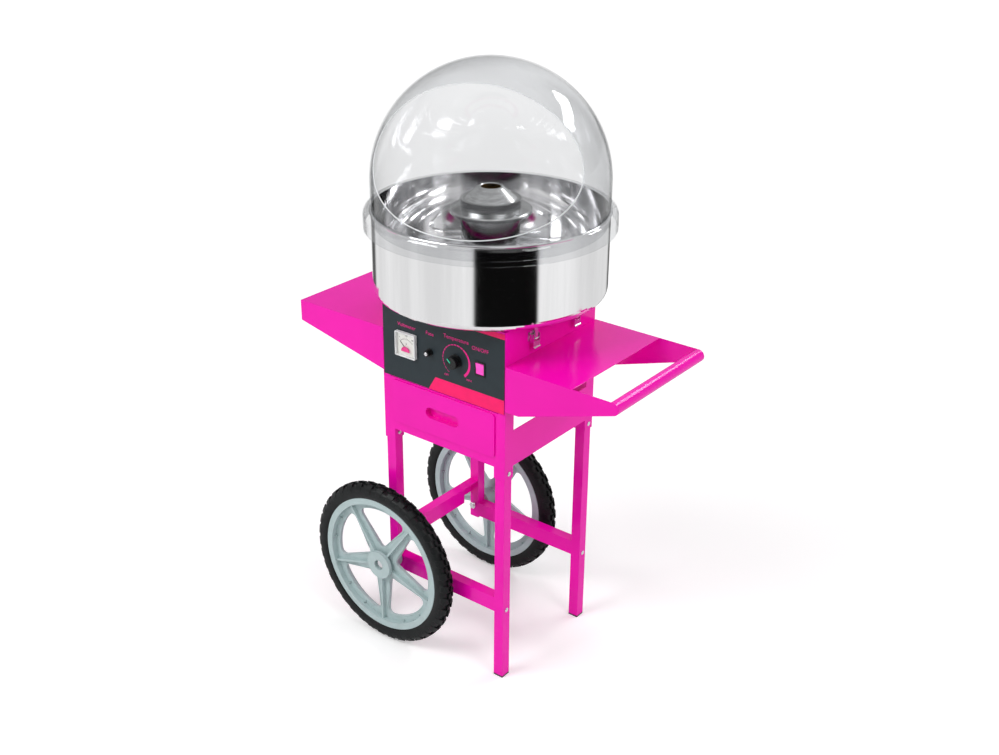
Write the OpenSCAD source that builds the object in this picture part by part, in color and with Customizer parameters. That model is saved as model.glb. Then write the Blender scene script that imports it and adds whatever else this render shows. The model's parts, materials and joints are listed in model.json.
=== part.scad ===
/* [Cart] */
// Width of the cart body across the two tray sides
cart_w = 348; // [320:1:380]
// Depth of the cart body from front plate to back plate
cart_d = 337; // [320:1:370]
// Height of the ledge that carries the machine
ledge_top = 690; // [670:1:720]
// Height of the lower edge of the front plate and side panels
panel_bottom = 558; // [550:1:566]
// Height of the upper edge of the side and back panels
panel_top = 645; // [630:1:655]
// Height of the lower ends of the corner sleeves
sleeve_bottom = 530; // [500:1:545]
// Outside width of the square corner sleeves
sleeve_w = 30; // [28:0.5:34]
// Thickness of the sheet metal
sheet_t = 1.5; // [1.2:0.1:2]
// Width of the ledge ring under the machine
ledge_w = 31; // [31:1:40]

/* [Legs] */
// Outside width of the square legs
leg_w = 25.4; // [22:0.1:26]
// Length of the two short legs below their axles
leg_tail = 36; // [33:1:44]
// Height that each leg reaches inside its sleeve
leg_top = 630; // [600:1:640]
// Visible height of the plastic foot caps
foot_cap_h = 4; // [2:0.5:8]
// Depth of the plug of a foot cap inside its leg
foot_plug_h = 18; // [10:1:30]

/* [Rails] */
// Height of the top face of the front and back rails above the axles
rail_lift = 8; // [0:1:14]
// Height of the front and back rails
rail_h = 38; // [30:1:40]
// Height of the top face of the cross rail above the axles
cross_rail_lift = 74; // [70:1:92]
// Height of the cross rail
cross_rail_h = 40; // [30:1:44]
// Distance by which the inner flange of the cross rail stops short of the legs
cross_rail_cut = 56; // [30:1:80]

/* [Wheels] */
// Height of the tyre section outside the rim
tyre_section = 36; // [34:1:40]
// Width of a tyre
tyre_w = 40; // [36:1:44]
// Width of the flat crown of a tyre
tyre_crown_w = 24; // [18:1:28]
// Outer radius of the wheel rim lips
rim_r = 172; // [166:1:178]
// Width of the wheel rim
rim_w = 34; // [30:1:36]
// Number of spokes
spoke_count = 5; // [5:1:6]
// Number of tread lugs around each shoulder
lug_count = 40; // [30:1:44]
// Distance of the wheel mid plane from the outer face of the legs
wheel_offset = 38; // [36:1:48]
// Radius of the axle bolts
axle_r = 6; // [5:0.5:8]
// Radius of the hub flange
hub_flange_r = 35; // [30:1:38]

/* [Trays] */
// Height of the top faces of the two trays
tray_top = 804; // [790:1:815]
// Reach of the left tray
left_tray_l = 258; // [220:1:280]
// Reach of the right shelf
right_shelf_l = 168; // [140:1:190]
// Reach from the cart to the centre line of the handle
handle_reach = 267; // [240:1:290]
// Radius of the handle tube
handle_r = 14; // [12:0.5:16]
// Height of the tray side plates beside the cart
wing_root_h = 104; // [90:1:108]
// Height of the left tray at its outer end
wing_tip_h = 50; // [40:1:60]
// Length of the level stretch under the arm of the right tray
arm_level_l = 34; // [20:1:50]

/* [Drawer] */
// Width of the drawer front
drawer_front_w = 294; // [270:1:284]
// Height of the drawer front
drawer_front_h = 105; // [96:1:106]
// Height of the lower edge of the drawer front
drawer_front_bottom = 581; // [578:1:584]
// Thickness of the drawer front
drawer_front_t = 3; // [2:0.5:5]
// Corner radius of the drawer front
drawer_corner_r = 9; // [4:0.5:12]
// Overall length of the finger slot
slot_l = 94; // [80:1:110]
// Height of the finger slot
slot_h = 26; // [22:1:30]
// Depth of the drawer box
drawer_d = 68; // [50:1:80]

/* [Machine] */
// Height of the machine housing
machine_h = 190; // [184:1:200]
// Outer radius of the bowl
bowl_r = 260; // [240:1:270]
// Depth of the bowl
bowl_h = 191; // [170:1:200]
// Radius of the rounded lower edge of the bowl
bowl_edge_r = 20; // [12:1:30]
// Wall thickness of the bowl
bowl_t = 1.5; // [1.2:0.1:2]
// Radius of the middle hole in the bowl
bowl_hole_r = 97; // [94:1:110]
// Height of the rubber ring under the bowl
seat_ring_h = 6; // [4:0.5:10]
// Height of the spinner flange above the machine top
spinner_lift = 186; // [180:1:190]
// Radius of the spinner flange
spinner_flange_r = 90; // [80:1:92]
// Radius of the spinner cap
spinner_cap_r = 66; // [56:1:70]

/* [Cover] */
// Wall thickness of the clear cover
cover_t = 3; // [2:0.5:4]
// Height of the upright wall below the dome
cover_wall_h = 56; // [40:1:80]
// Overhang of the skirt outside the cover's wall
skirt_over = 17; // [15:1:22]
// Height of the skirt round the bowl rim
skirt_h = 42; // [30:1:50]
// Width of clear wall left beside the oval opening, seen square on
opening_side_w = 38; // [30:1:70]
// Height of clear wall left above the oval opening, seen square on
opening_head_h = 102; // [98:1:140]
// Direction that the opening faces, turned from the front towards the handle
opening_turn = 24; // [0:1:40]
// Upward tilt of the opening
opening_tilt = 27; // [20:1:30]
// Drop of the opening's centre line below the dome centre
opening_drop = 5; // [0:1:8]

/* [Controls] */
// Side of the square voltmeter
meter_w = 58; // [50:1:62]
// Distance of the voltmeter left of the middle
meter_x = 101; // [95:1:105]
// Height of the controls' centre line above the machine base
control_lift = 90; // [86:1:96]
// Distance of the fuse left of the middle
fuse_x = 34; // [30:1:38]
// Radius of the fuse cap
fuse_cap_r = 7; // [6:0.5:9]
// Distance of the temperature knob right of the middle
knob_x = 40; // [36:1:44]
// Radius of the temperature knob
knob_r = 14; // [12:0.5:17]
// Height of the temperature knob
knob_h = 17; // [14:0.5:22]
// Distance of the rocker switch right of the middle
rocker_x = 106; // [102:1:110]
// Width of the rocker switch frame
rocker_w = 28; // [24:1:30]
// Height of the rocker switch frame
rocker_h = 34; // [30:1:36]

/* [Latches] */
// Distance of the latches from the middle
latch_y = 76; // [70:1:84]
// Width of a latch lever
latch_w = 22; // [18:1:24]
// Length of a latch lever below its pin
latch_lever_l = 26; // [20:1:28]

/* [Hidden] */

// Facets of round shapes
$fn = 96;
fine_fn = 180;
small_fn = 32;

// Overrun of every cut past the face that it opens
cut = 1;
// Gap between pieces that are laid or slid against each other
fit_gap = 0.3;
// Running clearance of a pin or shaft in its bore
running_gap = 0.05;

// The origin stands under the middle of the whole outline, between tray end and handle
left_reach = cart_w / 2 + left_tray_l;
right_reach = cart_w / 2 + handle_reach + handle_r;
frame_x = (left_reach - right_reach) / 2;

// Cart places
half_w = cart_w / 2;
half_d = cart_d / 2;
leg_x = half_w - sleeve_w / 2;
leg_y = half_d - sleeve_w / 2;
leg_face_y = leg_y + leg_w / 2;
leg_inner_x = leg_x - leg_w / 2;
sleeve_t = sheet_t;
sides = [-1, 1];

// Upper bolt through each sleeve and leg, lower bolt through each long leg into its rail
bolt_r = 3;
bolt_head_r = 5.5;
bolt_head_h = 3;
bolt_end_l = 4;
bolt_rise = 14;
bolt_drop = 30;
upper_bolt_z = sleeve_bottom + bolt_rise;
bolt_bore_r = bolt_r + running_gap;
rail_bolt_l = 14;

// Wheels
tyre_r = rim_r + tyre_section;
axle_z = tyre_r;
rail_top = axle_z + rail_lift;
lower_bolt_z = rail_top - bolt_drop;
cross_rail_top = axle_z + cross_rail_lift;
short_leg_bottom = axle_z - leg_tail;
wheel_y = leg_face_y + wheel_offset;
axle_bore_r = axle_r + running_gap;
rim_lip_t = 3;
rim_lip_h = 10;
rim_wall_t = 5.5;
rim_inner_r = rim_r - rim_lip_h - rim_wall_t;
web_t = 7;
rib_t = 5;
rib_rise = 9;
hub_r = 26;
hub_flange_t = 9;
hub_end_gap = 2;
hub_out = 21;
hub_recess_r = 13;
hub_recess_d = 12;
spoke_hub_half_w = 23;
spoke_rim_half_w = 12;
spoke_root_r = 45;
web_ring_w = 15;
gap_corner_r = 13;
gap_root_r = 8;
bead_gap = 0.1;
shoulder_d = 13;
shoulder_r = tyre_r - shoulder_d;
shoulder_drop = 7;
lug_gap_w = 6;
lug_gap_d = 9;
lug_gap_reach = 11;
washer_r = 15;
axle_nut_r = 10;
axle_nut_h = 9;
axle_head_r = 10.5;
axle_head_h = 6;

// Trays
handle_z = tray_top - handle_r;
arm_turn = -74;
hanger_w = 20;
wing_y = half_d;
hanger_t = sheet_t;
tray_rest = ledge_top + hanger_t;

// Machine
machine_bottom = tray_rest;
machine_w = cart_w - 2 * (hanger_t + fit_gap);
machine_d = cart_d - 2 * fit_gap;
machine_top = machine_bottom + machine_h;
housing_t = 1.5;
housing_corner_r = 4;
panel_t = 1;
panel_face_y = -machine_d / 2 - panel_t;
panel_margin = 1.4;
panel_drop = 16;
control_z = machine_bottom + control_lift;
base_t = 2;
vent_l = 30;
vent_w = 4;
vent_pitch = 40;
vent_y = 76;

// Drawer
front_face_y = -half_d;
drawer_lap_w = 7;
drawer_lap_top = 9;
drawer_opening_w = drawer_front_w - 2 * drawer_lap_w;
drawer_opening_h = drawer_front_h - drawer_lap_w - drawer_lap_top;
drawer_opening_bottom = drawer_front_bottom + drawer_lap_w;
drawer_cup_d = 12;
runner_t = 1.5;
runner_w = 12;
drawer_side_gap = 0.4;
drawer_box_w = drawer_opening_w - 2 * (runner_t + drawer_side_gap);
drawer_box_bottom = drawer_opening_bottom + runner_t + drawer_side_gap;
drawer_box_h = drawer_opening_h - 2 * runner_t - 4 * drawer_side_gap;
drawer_t = 1.2;
drawer_back_y = front_face_y + drawer_d;

// Controls
meter_case_d = 8;
meter_body_r = 24;
meter_body_l = 30;
meter_rim_t = 2.4;
meter_scale_t = 1;
meter_window_t = 1.6;
needle_w = 1.6;
needle_l = 24;
needle_t = 0.6;
needle_hub_r = 3;
needle_drop = 12;
fuse_flange_r = 9;
fuse_flange_t = 2;
fuse_body_r = 6;
fuse_body_l = 32;
fuse_cap_l = 11;
fuse_r = 2.6;
fuse_l = 20;
knob_skirt_w = 2;
knob_skirt_r = knob_r + knob_skirt_w;
knob_turn = -48;
knob_skirt_h = 3;
knob_gap = 1;
pointer_w = 2.4;
pointer_h = 1;
shaft_r = 3;
control_body_r = 13;
control_body_l = 14;
rocker_frame_t = 2;
rocker_wall = 3;
rocker_body_d = 20;
rocker_rise = 4;
rocker_pin_r = 1.5;
rocker_root_share = 0.94;
rocker_tip_share = 0.86;

// Latches
latch_plate_t = 1.5;
latch_pin_r = 1.6;
latch_pin_out = 5.5;
latch_drop = 32;
latch_pin_x = machine_w / 2 + latch_pin_out;
latch_pin_z = machine_top - latch_drop;
latch_ear_t = 1.5;
latch_plate_edge = 4;
latch_plate_w = latch_w + 2 * latch_plate_edge;
latch_plate_drop = 12;
latch_plate_rise = 8;
lever_t = 1.5;
lever_drop = 5;
cheek_drop = 8;
lever_curl_r = 2.6;
hook_pin_out = 5;
hook_pin_drop = 7;
hook_pin_x = latch_pin_x + hook_pin_out;
hook_pin_z = latch_pin_z - hook_pin_drop;
hook_w = 10;
hook_t = 1.5;
hook_top_drop = 8;
hook_top_z = machine_top - hook_top_drop;
hook_return = 6;
catch_w = 16;
catch_t = 1.5;
catch_lip = 5;
catch_x = hook_pin_x + hook_t / 2 - hook_return - fit_gap;
catch_lip_z = hook_top_z - hook_t - fit_gap - catch_t;

// Bowl, head and drive
bowl_bottom = machine_top + seat_ring_h;
rim_z = bowl_bottom + bowl_h;
rim_bead_r = 3;
floor_turn = -80;
floor_ring_rise = 2.5;
seat_ring_r = 150;
seat_ring_w = 14;
shield_r = 64;
shield_t = 2;
shield_gap = 5;
shield_foot_r = 84;
spinner_z = machine_top + spinner_lift;
flange_t = 2.5;
flange_rim_h = 9;
flange_rise = 9;
plate_z = spinner_z + flange_rise;
cap_lip_h = 3;
cap_lip_w = 5;
base_hub_r = 14;
base_hub_l = 13;
cap_wall_h = 28;
cap_h = 57;
cap_top_z = spinner_z + cap_h;
cap_mouth_r = 24;
cap_t = 2;
band_gap = 5;
band_r = spinner_cap_r - band_gap;
band_t = 3;
band_slots = 36;
band_slot_w = 3;
drive_r = 6;
motor_r = 52;
motor_h = 92;
motor_gap = 38;
motor_bell_r = 20;
mount_r = 6;
mount_reach = 40;
shaft_room = 4;
plate_bore_r = drive_r + shaft_room;

// Cover
cover_r = bowl_r;
skirt_r = cover_r + skirt_over;
skirt_shoulder_r = 14;
cover_base_z = rim_z + fit_gap;
dome_z = cover_base_z + cover_t + cover_wall_h;
skirt_t = 2.5;
opening_half_w = cover_r - opening_side_w;
opening_half_h = cover_r - opening_head_h;

// Inlet at the back
inlet_w = 28;
inlet_h = 22;
inlet_x = 96;
inlet_lift = 46;
inlet_t = 3;
inlet_body_d = 22;
inlet_well = 14;
inlet_wall = 3;
pin_size = [2, 10, 4];

module place() {
    translate([frame_x, 0, 0]) children();
}

module slab(low, high) {
    translate(low) cube(high - low);
}

module along_x(r, x0, x1, y, z) {
    translate([x0, y, z]) rotate([0, 90, 0]) cylinder(r = r, h = x1 - x0, $fn = small_fn);
}

module along_y(r, y0, y1, x, z, facets = small_fn) {
    translate([x, y1, z]) rotate([90, 0, 0]) cylinder(r = r, h = y1 - y0, $fn = facets);
}

module upright(r, z0, z1, x = 0, y = 0, facets = $fn) {
    translate([x, y, z0]) cylinder(r = r, h = z1 - z0, $fn = facets);
}

// Square tube standing on its end
module square_tube(w, wall, x, y, z0, z1) {
    difference() {
        slab([x - w / 2, y - w / 2, z0], [x + w / 2, y + w / 2, z1]);
        slab([x - w / 2 + wall, y - w / 2 + wall, z0 - cut],
             [x + w / 2 - wall, y + w / 2 - wall, z1 + cut]);
    }
}

// Rectangle with round corners standing in the XZ plane, front face at y0
module round_plate(x, z, w, h, r, y0, y1) {
    translate([x, y1, z]) rotate([90, 0, 0]) linear_extrude(y1 - y0) round_rect(w, h, r);
}

module round_rect(w, h, r) {
    union() {
        square([w - 2 * r, h], center = true);
        square([w, h - 2 * r], center = true);
        for (i = sides, j = sides) {
            translate([i * (w / 2 - r), j * (h / 2 - r)]) circle(r, $fn = small_fn);
        }
    }
}

// Cart body: corner sleeves, front plate round the drawer, low side and back panels, ledge
module cart_shell() {
    place() color("deeppink") difference() {
        union() {
            for (i = sides, j = sides) {
                square_tube(sleeve_w, sleeve_t, i * leg_x, j * leg_y, sleeve_bottom, ledge_top);
            }
            slab([-half_w + sleeve_w, -half_d, panel_bottom],
                 [half_w - sleeve_w, -half_d + sheet_t, ledge_top]);
            slab([-half_w + sleeve_w, half_d - sheet_t, panel_bottom],
                 [half_w - sleeve_w, half_d, panel_top]);
            for (i = sides) {
                x0 = i > 0 ? half_w - sheet_t : -half_w;
                slab([x0, -half_d + sleeve_w, panel_bottom],
                     [x0 + sheet_t, half_d - sleeve_w, panel_top]);
            }
            difference() {
                slab([-half_w, -half_d, ledge_top - sheet_t], [half_w, half_d, ledge_top]);
                slab([-half_w + ledge_w, -half_d + ledge_w, ledge_top - sheet_t - cut],
                     [half_w - ledge_w, half_d - ledge_w, ledge_top + cut]);
            }
        }
        slab([-drawer_opening_w / 2, -half_d - cut, drawer_opening_bottom],
             [drawer_opening_w / 2, -half_d + sheet_t + cut,
              drawer_opening_bottom + drawer_opening_h]);
        for (i = sides, j = sides) {
            along_x(bolt_bore_r, i * leg_x - sleeve_w / 2 - cut, i * leg_x + sleeve_w / 2 + cut,
                    j * leg_y, upper_bolt_z);
        }
    }
}

// Square leg with its cross holes
module leg(i, j, bottom) {
    color("deeppink") difference() {
        square_tube(leg_w, sheet_t, i * leg_x, j * leg_y, bottom, leg_top);
        along_x(bolt_bore_r, i * leg_x - leg_w / 2 - cut, i * leg_x + leg_w / 2 + cut,
                j * leg_y, upper_bolt_z);
        if (i > 0) {
            along_x(bolt_bore_r, leg_x - leg_w / 2 - cut, leg_x + leg_w / 2 + cut,
                    j * leg_y, lower_bolt_z);
        } else {
            along_y(axle_bore_r, j * leg_y - leg_w / 2 - cut, j * leg_y + leg_w / 2 + cut,
                    -leg_x, axle_z);
        }
    }
}

module front_right_leg() {
    place() leg(1, -1, foot_cap_h);
}

module back_right_leg() {
    place() leg(1, 1, foot_cap_h);
}

module front_left_leg() {
    place() leg(-1, -1, short_leg_bottom);
}

module back_left_leg() {
    place() leg(-1, 1, short_leg_bottom);
}

module foot_caps() {
    plug_w = leg_w - 2 * sheet_t;
    place() color("black") for (j = sides) {
        slab([leg_x - leg_w / 2, j * leg_y - leg_w / 2, 0],
             [leg_x + leg_w / 2, j * leg_y + leg_w / 2, foot_cap_h]);
        slab([leg_x - plug_w / 2, j * leg_y - plug_w / 2, foot_cap_h],
             [leg_x + plug_w / 2, j * leg_y + plug_w / 2, foot_cap_h + foot_plug_h]);
    }
}

// Folded channel, open below, with closed ends that take the bolts
module rail(j) {
    y0 = j * leg_y - leg_w / 2;
    difference() {
        slab([-leg_inner_x, y0, rail_top - rail_h], [leg_inner_x, y0 + leg_w, rail_top]);
        slab([-leg_inner_x + sheet_t, y0 + sheet_t, rail_top - rail_h - cut],
             [leg_inner_x - sheet_t, y0 + leg_w - sheet_t, rail_top - sheet_t]);
        along_x(bolt_bore_r, leg_inner_x - sheet_t - cut, leg_inner_x + cut,
                j * leg_y, lower_bolt_z);
    }
}

module front_rail() {
    place() color("deeppink") rail(-1);
}

module back_rail() {
    place() color("deeppink") rail(1);
}

module cross_rail() {
    x0 = -leg_x - leg_w / 2;
    y1 = leg_y - leg_w / 2;
    z0 = cross_rail_top - cross_rail_h;
    place() color("deeppink") difference() {
        slab([x0, -y1, z0], [x0 + leg_w, y1, cross_rail_top]);
        slab([x0 + sheet_t, -y1 - cut, z0 - cut],
             [x0 + leg_w - sheet_t, y1 + cut, cross_rail_top - sheet_t]);
        for (j = sides) {
            y0 = j > 0 ? y1 - cross_rail_cut : -y1 - cut;
            slab([x0 + leg_w / 2, y0, z0 - cut],
                 [x0 + leg_w + cut, y0 + cross_rail_cut + cut, cross_rail_top - sheet_t]);
        }
    }
}

// Domed bolt through the sleeve and leg, with its end and nut on the far side
module cross_bolt(x_head, x_end, y, z) {
    dir = x_head > x_end ? 1 : -1;
    along_x(bolt_r, min(x_head, x_end - bolt_end_l), max(x_head, x_end - bolt_end_l), y, z);
    translate([x_head, y, z]) rotate([0, dir * 90, 0]) bolt_head();
    translate([x_end - bolt_end_l, y, z]) rotate([0, 90, 0]) {
        cylinder(r = bolt_head_r, h = bolt_end_l, $fn = 6);
    }
}

module bolt_head() {
    cylinder(r = bolt_head_r, h = bolt_head_h / 2, $fn = small_fn);
    translate([0, 0, bolt_head_h / 2]) {
        cylinder(r1 = bolt_head_r, r2 = bolt_head_r / 2, h = bolt_head_h / 2, $fn = small_fn);
    }
}

module frame_bolts() {
    place() color("silver") for (j = sides) {
        for (i = sides) {
            cross_bolt(i * leg_x + sleeve_w / 2, i * leg_x - sleeve_w / 2, j * leg_y, upper_bolt_z);
        }
        along_x(bolt_r, leg_inner_x - rail_bolt_l, leg_x + leg_w / 2, j * leg_y, lower_bolt_z);
        translate([leg_x + leg_w / 2, j * leg_y, lower_bolt_z]) rotate([0, 90, 0]) bolt_head();
        translate([leg_inner_x - sheet_t - bolt_end_l, j * leg_y, lower_bolt_z]) {
            rotate([0, 90, 0]) cylinder(r = bolt_head_r, h = bolt_end_l, $fn = 6);
        }
    }
}

// Shoulder bolt of a wheel: head in the hub recess, washer, nut inside the leg
module axle(j) {
    out = wheel_y + hub_out;
    seat = out - hub_recess_d;
    inner = leg_y - leg_w / 2;
    translate([-leg_x, 0, axle_z]) rotate([j > 0 ? -90 : 90, 0, 0]) {
        translate([0, 0, inner - axle_nut_h - sheet_t]) {
            cylinder(r = axle_r, h = seat - inner + axle_nut_h + sheet_t, $fn = small_fn);
        }
        translate([0, 0, inner - axle_nut_h]) {
            cylinder(r = axle_nut_r, h = axle_nut_h, $fn = 6);
        }
        translate([0, 0, seat + fit_gap]) {
            cylinder(r = axle_head_r, h = axle_head_h, $fn = 6);
        }
        translate([0, 0, seat]) cylinder(r = axle_r, h = fit_gap, $fn = small_fn);
        translate([0, 0, leg_face_y]) {
            cylinder(r = washer_r, h = hub_end_gap - fit_gap, $fn = small_fn);
        }
    }
}

module front_axle() {
    place() color("silver") axle(-1);
}

module back_axle() {
    place() color("silver") axle(1);
}

// One opening between two spokes, as an outline with arcs at its corners
function arc(centre, r, from, to, steps) = [
    for (k = [0 : steps])
    let (a = from + (to - from) * k / steps)
    [centre[0] + r * cos(a), centre[1] + r * sin(a)]
];

gap_r = rim_inner_r - web_ring_w;
gap_half = 180 / spoke_count;
function on_spoke(r, half_w) = [
    sqrt(r * r - half_w * half_w) * cos(gap_half) + half_w * sin(gap_half),
    sqrt(r * r - half_w * half_w) * sin(gap_half) - half_w * cos(gap_half)
];
// Edge of a spoke beside the opening, with its slope and the way into the opening
edge_start = on_spoke(spoke_root_r, spoke_hub_half_w);
edge_end = on_spoke(gap_r, spoke_rim_half_w);
edge_way = (edge_end - edge_start) / norm(edge_end - edge_start);
edge_turn = atan2(edge_way[1], edge_way[0]);
edge_in = [edge_way[1], -edge_way[0]];
// Centres of the two corner rounds at the rim and of the round at the hub
corner_base = edge_start + gap_corner_r * edge_in;
corner_way = corner_base * edge_way;
corner_run = sqrt(corner_way * corner_way - corner_base * corner_base
    + (gap_r - gap_corner_r) * (gap_r - gap_corner_r)) - corner_way;
corner = corner_base + corner_run * edge_way;
corner_turn = atan2(corner[1], corner[0]);
corner_step = corner_turn / 5;
root_base = edge_start + gap_root_r * edge_in;
root_x = root_base[0] - root_base[1] * edge_way[0] / edge_way[1];
gap_points = concat(
    arc([corner[0], -corner[1]], gap_corner_r, -edge_turn - 90, -corner_turn, 6),
    arc([0, 0], gap_r, corner_step - corner_turn, corner_turn - corner_step, 8),
    arc(corner, gap_corner_r, corner_turn, edge_turn + 90, 6),
    arc([root_x, 0], gap_root_r, edge_turn + 90, 270 - edge_turn, 6)
);

// Wheel turned about +Z with its outer face upward, before it is stood on its axle
module rim_solid() {
    half = rim_w / 2;
    difference() {
        union() {
            rotate_extrude($fn = fine_fn) polygon([
                [rim_inner_r, -half], [rim_r, -half], [rim_r, -half + rim_lip_t],
                [rim_r - rim_lip_h, -half + rim_lip_t], [rim_r - rim_lip_h, half - rim_lip_t],
                [rim_r, half - rim_lip_t], [rim_r, half], [rim_inner_r, half]
            ]);
            difference() {
                upright(rim_inner_r + rim_wall_t / 2, -web_t / 2, web_t / 2, facets = fine_fn);
                for (k = [0 : spoke_count - 1]) {
                    rotate(-90 + gap_half + k * 2 * gap_half) translate([0, 0, -web_t]) {
                        linear_extrude(2 * web_t) polygon(gap_points);
                    }
                }
            }
            for (k = [0 : spoke_count - 1]) rotate(-90 + k * 2 * gap_half) {
                slab([hub_r / 2, -rib_t / 2, 0],
                     [rim_inner_r + rim_wall_t / 2, rib_t / 2, web_t / 2 + rib_rise]);
                slab([hub_r / 2, -rib_t / 2, -web_t / 2 - rib_rise],
                     [rim_inner_r + rim_wall_t / 2, rib_t / 2, 0]);
            }
            upright(hub_r, hub_end_gap - wheel_offset, hub_out);
            upright(hub_flange_r, hub_out - hub_flange_t, hub_out);
        }
        upright(axle_bore_r, -wheel_offset, hub_out + cut, facets = small_fn);
        upright(hub_recess_r, hub_out - hub_recess_d, hub_out + cut, facets = small_fn);
    }
}

module tyre_solid() {
    seat_r = rim_r - rim_lip_h + bead_gap;
    seat_half = rim_w / 2 - rim_lip_t - bead_gap;
    half = tyre_w / 2;
    crown = tyre_crown_w / 2;
    wall_r = rim_r + bead_gap;
    difference() {
        rotate_extrude($fn = fine_fn) polygon([
            [seat_r, -seat_half], [wall_r, -seat_half], [wall_r, -rim_w / 2],
            [wall_r + rim_lip_t, -half + bead_gap], [shoulder_r - shoulder_drop, -half],
            [shoulder_r, -half + sheet_t], [tyre_r - bead_gap, -crown - bead_gap],
            [tyre_r, -crown], [tyre_r, crown],
            [tyre_r - bead_gap, crown + bead_gap], [shoulder_r, half - sheet_t],
            [shoulder_r - shoulder_drop, half], [wall_r + rim_lip_t, half - bead_gap],
            [wall_r, rim_w / 2], [wall_r, seat_half], [seat_r, seat_half]
        ]);
        for (k = [0 : lug_count - 1], s = sides) {
            rotate((k + (s > 0 ? 0.5 : 0)) * 360 / lug_count) {
                z0 = s > 0 ? half - lug_gap_reach : -half - cut;
                slab([tyre_r - lug_gap_d, -lug_gap_w / 2, z0],
                     [tyre_r + cut, lug_gap_w / 2, z0 + lug_gap_reach + cut]);
            }
        }
    }
}

module stand_wheel(j) {
    translate([-leg_x, j * wheel_y, axle_z]) rotate([90, 0, 0]) {
        if (j < 0) {
            children();
        } else {
            mirror([0, 0, 1]) children();
        }
    }
}

module front_wheel_rim() {
    place() color("lightgray") stand_wheel(-1) rim_solid();
}

module back_wheel_rim() {
    place() color("lightgray") stand_wheel(1) rim_solid();
}

module front_wheel_tyre() {
    place() color("black") stand_wheel(-1) tyre_solid();
}

module back_wheel_tyre() {
    place() color("black") stand_wheel(1) tyre_solid();
}

// Vertical plate in the XZ plane cut to an outline
module side_plate(points, j) {
    y1 = j > 0 ? wing_y : -wing_y + sheet_t;
    translate([0, y1, 0]) rotate([90, 0, 0]) linear_extrude(sheet_t) polygon(points);
}

// Hanger flange beside the machine and its lip under the machine's edge
module hanger(i) {
    x_out = half_w;
    x_in = half_w - hanger_t;
    mirror([i > 0 ? 0 : 1, 0, 0]) {
        slab([x_in, -wing_y, ledge_top], [x_out, wing_y, tray_top]);
        slab([x_out - hanger_w, -wing_y, ledge_top], [x_out, wing_y, tray_rest - fit_gap / 3]);
    }
}

module left_tray() {
    x0 = -half_w - left_tray_l;
    place() color("deeppink") union() {
        slab([x0, -wing_y, tray_top - sheet_t], [-half_w + hanger_t, wing_y, tray_top]);
        for (j = sides) {
            side_plate([
                [-half_w, tray_top], [x0, tray_top], [x0, tray_top - wing_tip_h],
                [-half_w, tray_top - wing_root_h]
            ], j);
        }
        slab([x0, -wing_y, tray_top - wing_tip_h], [x0 + sheet_t, wing_y, tray_top]);
        hanger(-1);
    }
}

arm_end = half_w + handle_reach;
arm_points = concat(
    [[half_w, tray_top - wing_root_h], [half_w + arm_level_l, tray_top - wing_root_h]],
    arc([arm_end, handle_z], handle_r, arm_turn, 90, 14),
    [[half_w, tray_top]]
);

module right_tray() {
    place() color("deeppink") union() {
        slab([half_w - hanger_t, -wing_y, tray_top - sheet_t],
             [half_w + right_shelf_l, wing_y, tray_top]);
        for (j = sides) side_plate(arm_points, j);
        hanger(1);
    }
}

// Handle tube held between the two arms
module handle_tube() {
    y1 = wing_y - sheet_t;
    wall = 2 * sheet_t;
    place() color("deeppink") difference() {
        along_y(handle_r, -y1, y1, arm_end, handle_z, $fn);
        along_y(handle_r - wall, -y1 + wall, y1 - wall, arm_end, handle_z, $fn);
    }
}

// Drawer front with its long finger slot
module drawer_front() {
    y0 = front_face_y - drawer_front_t - fit_gap;
    z = drawer_front_bottom + drawer_front_h / 2;
    place() color("deeppink") difference() {
        round_plate(0, z, drawer_front_w, drawer_front_h, drawer_corner_r,
                    y0, y0 + drawer_front_t);
        slot_prism(slot_l, slot_h, y0 - cut, y0 + drawer_front_t + cut, z);
    }
}

module slot_prism(l, h, y0, y1, z) {
    r = h / 2;
    translate([0, y1, z]) rotate([90, 0, 0]) linear_extrude(y1 - y0) union() {
        square([l - h, h], center = true);
        for (i = sides) translate([i * (l / 2 - r), 0]) circle(r, $fn = small_fn);
    }
}

// Open drawer box fixed behind the front, with a closed cup behind the finger slot
module drawer_box() {
    y0 = front_face_y - fit_gap;
    z = drawer_front_bottom + drawer_front_h / 2;
    half = drawer_box_w / 2;
    place() color("deeppink") difference() {
        union() {
            difference() {
                slab([-half, y0, drawer_box_bottom],
                     [half, drawer_back_y, drawer_box_bottom + drawer_box_h]);
                slab([-half + drawer_t, y0 + drawer_t, drawer_box_bottom + drawer_t],
                     [half - drawer_t, drawer_back_y - drawer_t,
                      drawer_box_bottom + drawer_box_h + cut]);
            }
            slot_prism(slot_l + 2 * drawer_t, slot_h + 2 * drawer_t, y0, y0 + drawer_cup_d, z);
        }
        slot_prism(slot_l, slot_h, y0 - cut, y0 + drawer_cup_d - drawer_t, z);
    }
}

// Angle runners behind the front plate
module drawer_runners() {
    y0 = front_face_y + sheet_t;
    z0 = drawer_opening_bottom;
    half = drawer_opening_w / 2;
    place() color("deeppink") for (i = sides) mirror([i > 0 ? 0 : 1, 0, 0]) {
        slab([half - runner_w, y0, z0], [half, drawer_back_y, z0 + runner_t]);
        slab([half - runner_t, y0, z0], [half, drawer_back_y, z0 + drawer_opening_h]);
        slab([half - runner_w, y0, z0 + drawer_opening_h - runner_t],
             [half, drawer_back_y, z0 + drawer_opening_h]);
        slab([half, y0, z0], [half_w - sleeve_w, y0 + runner_t, z0 + drawer_opening_h]);
    }
}

module housing_outline(inset) {
    round_rect(machine_w - 2 * inset, machine_d - 2 * inset, housing_corner_r - inset);
}

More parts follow.
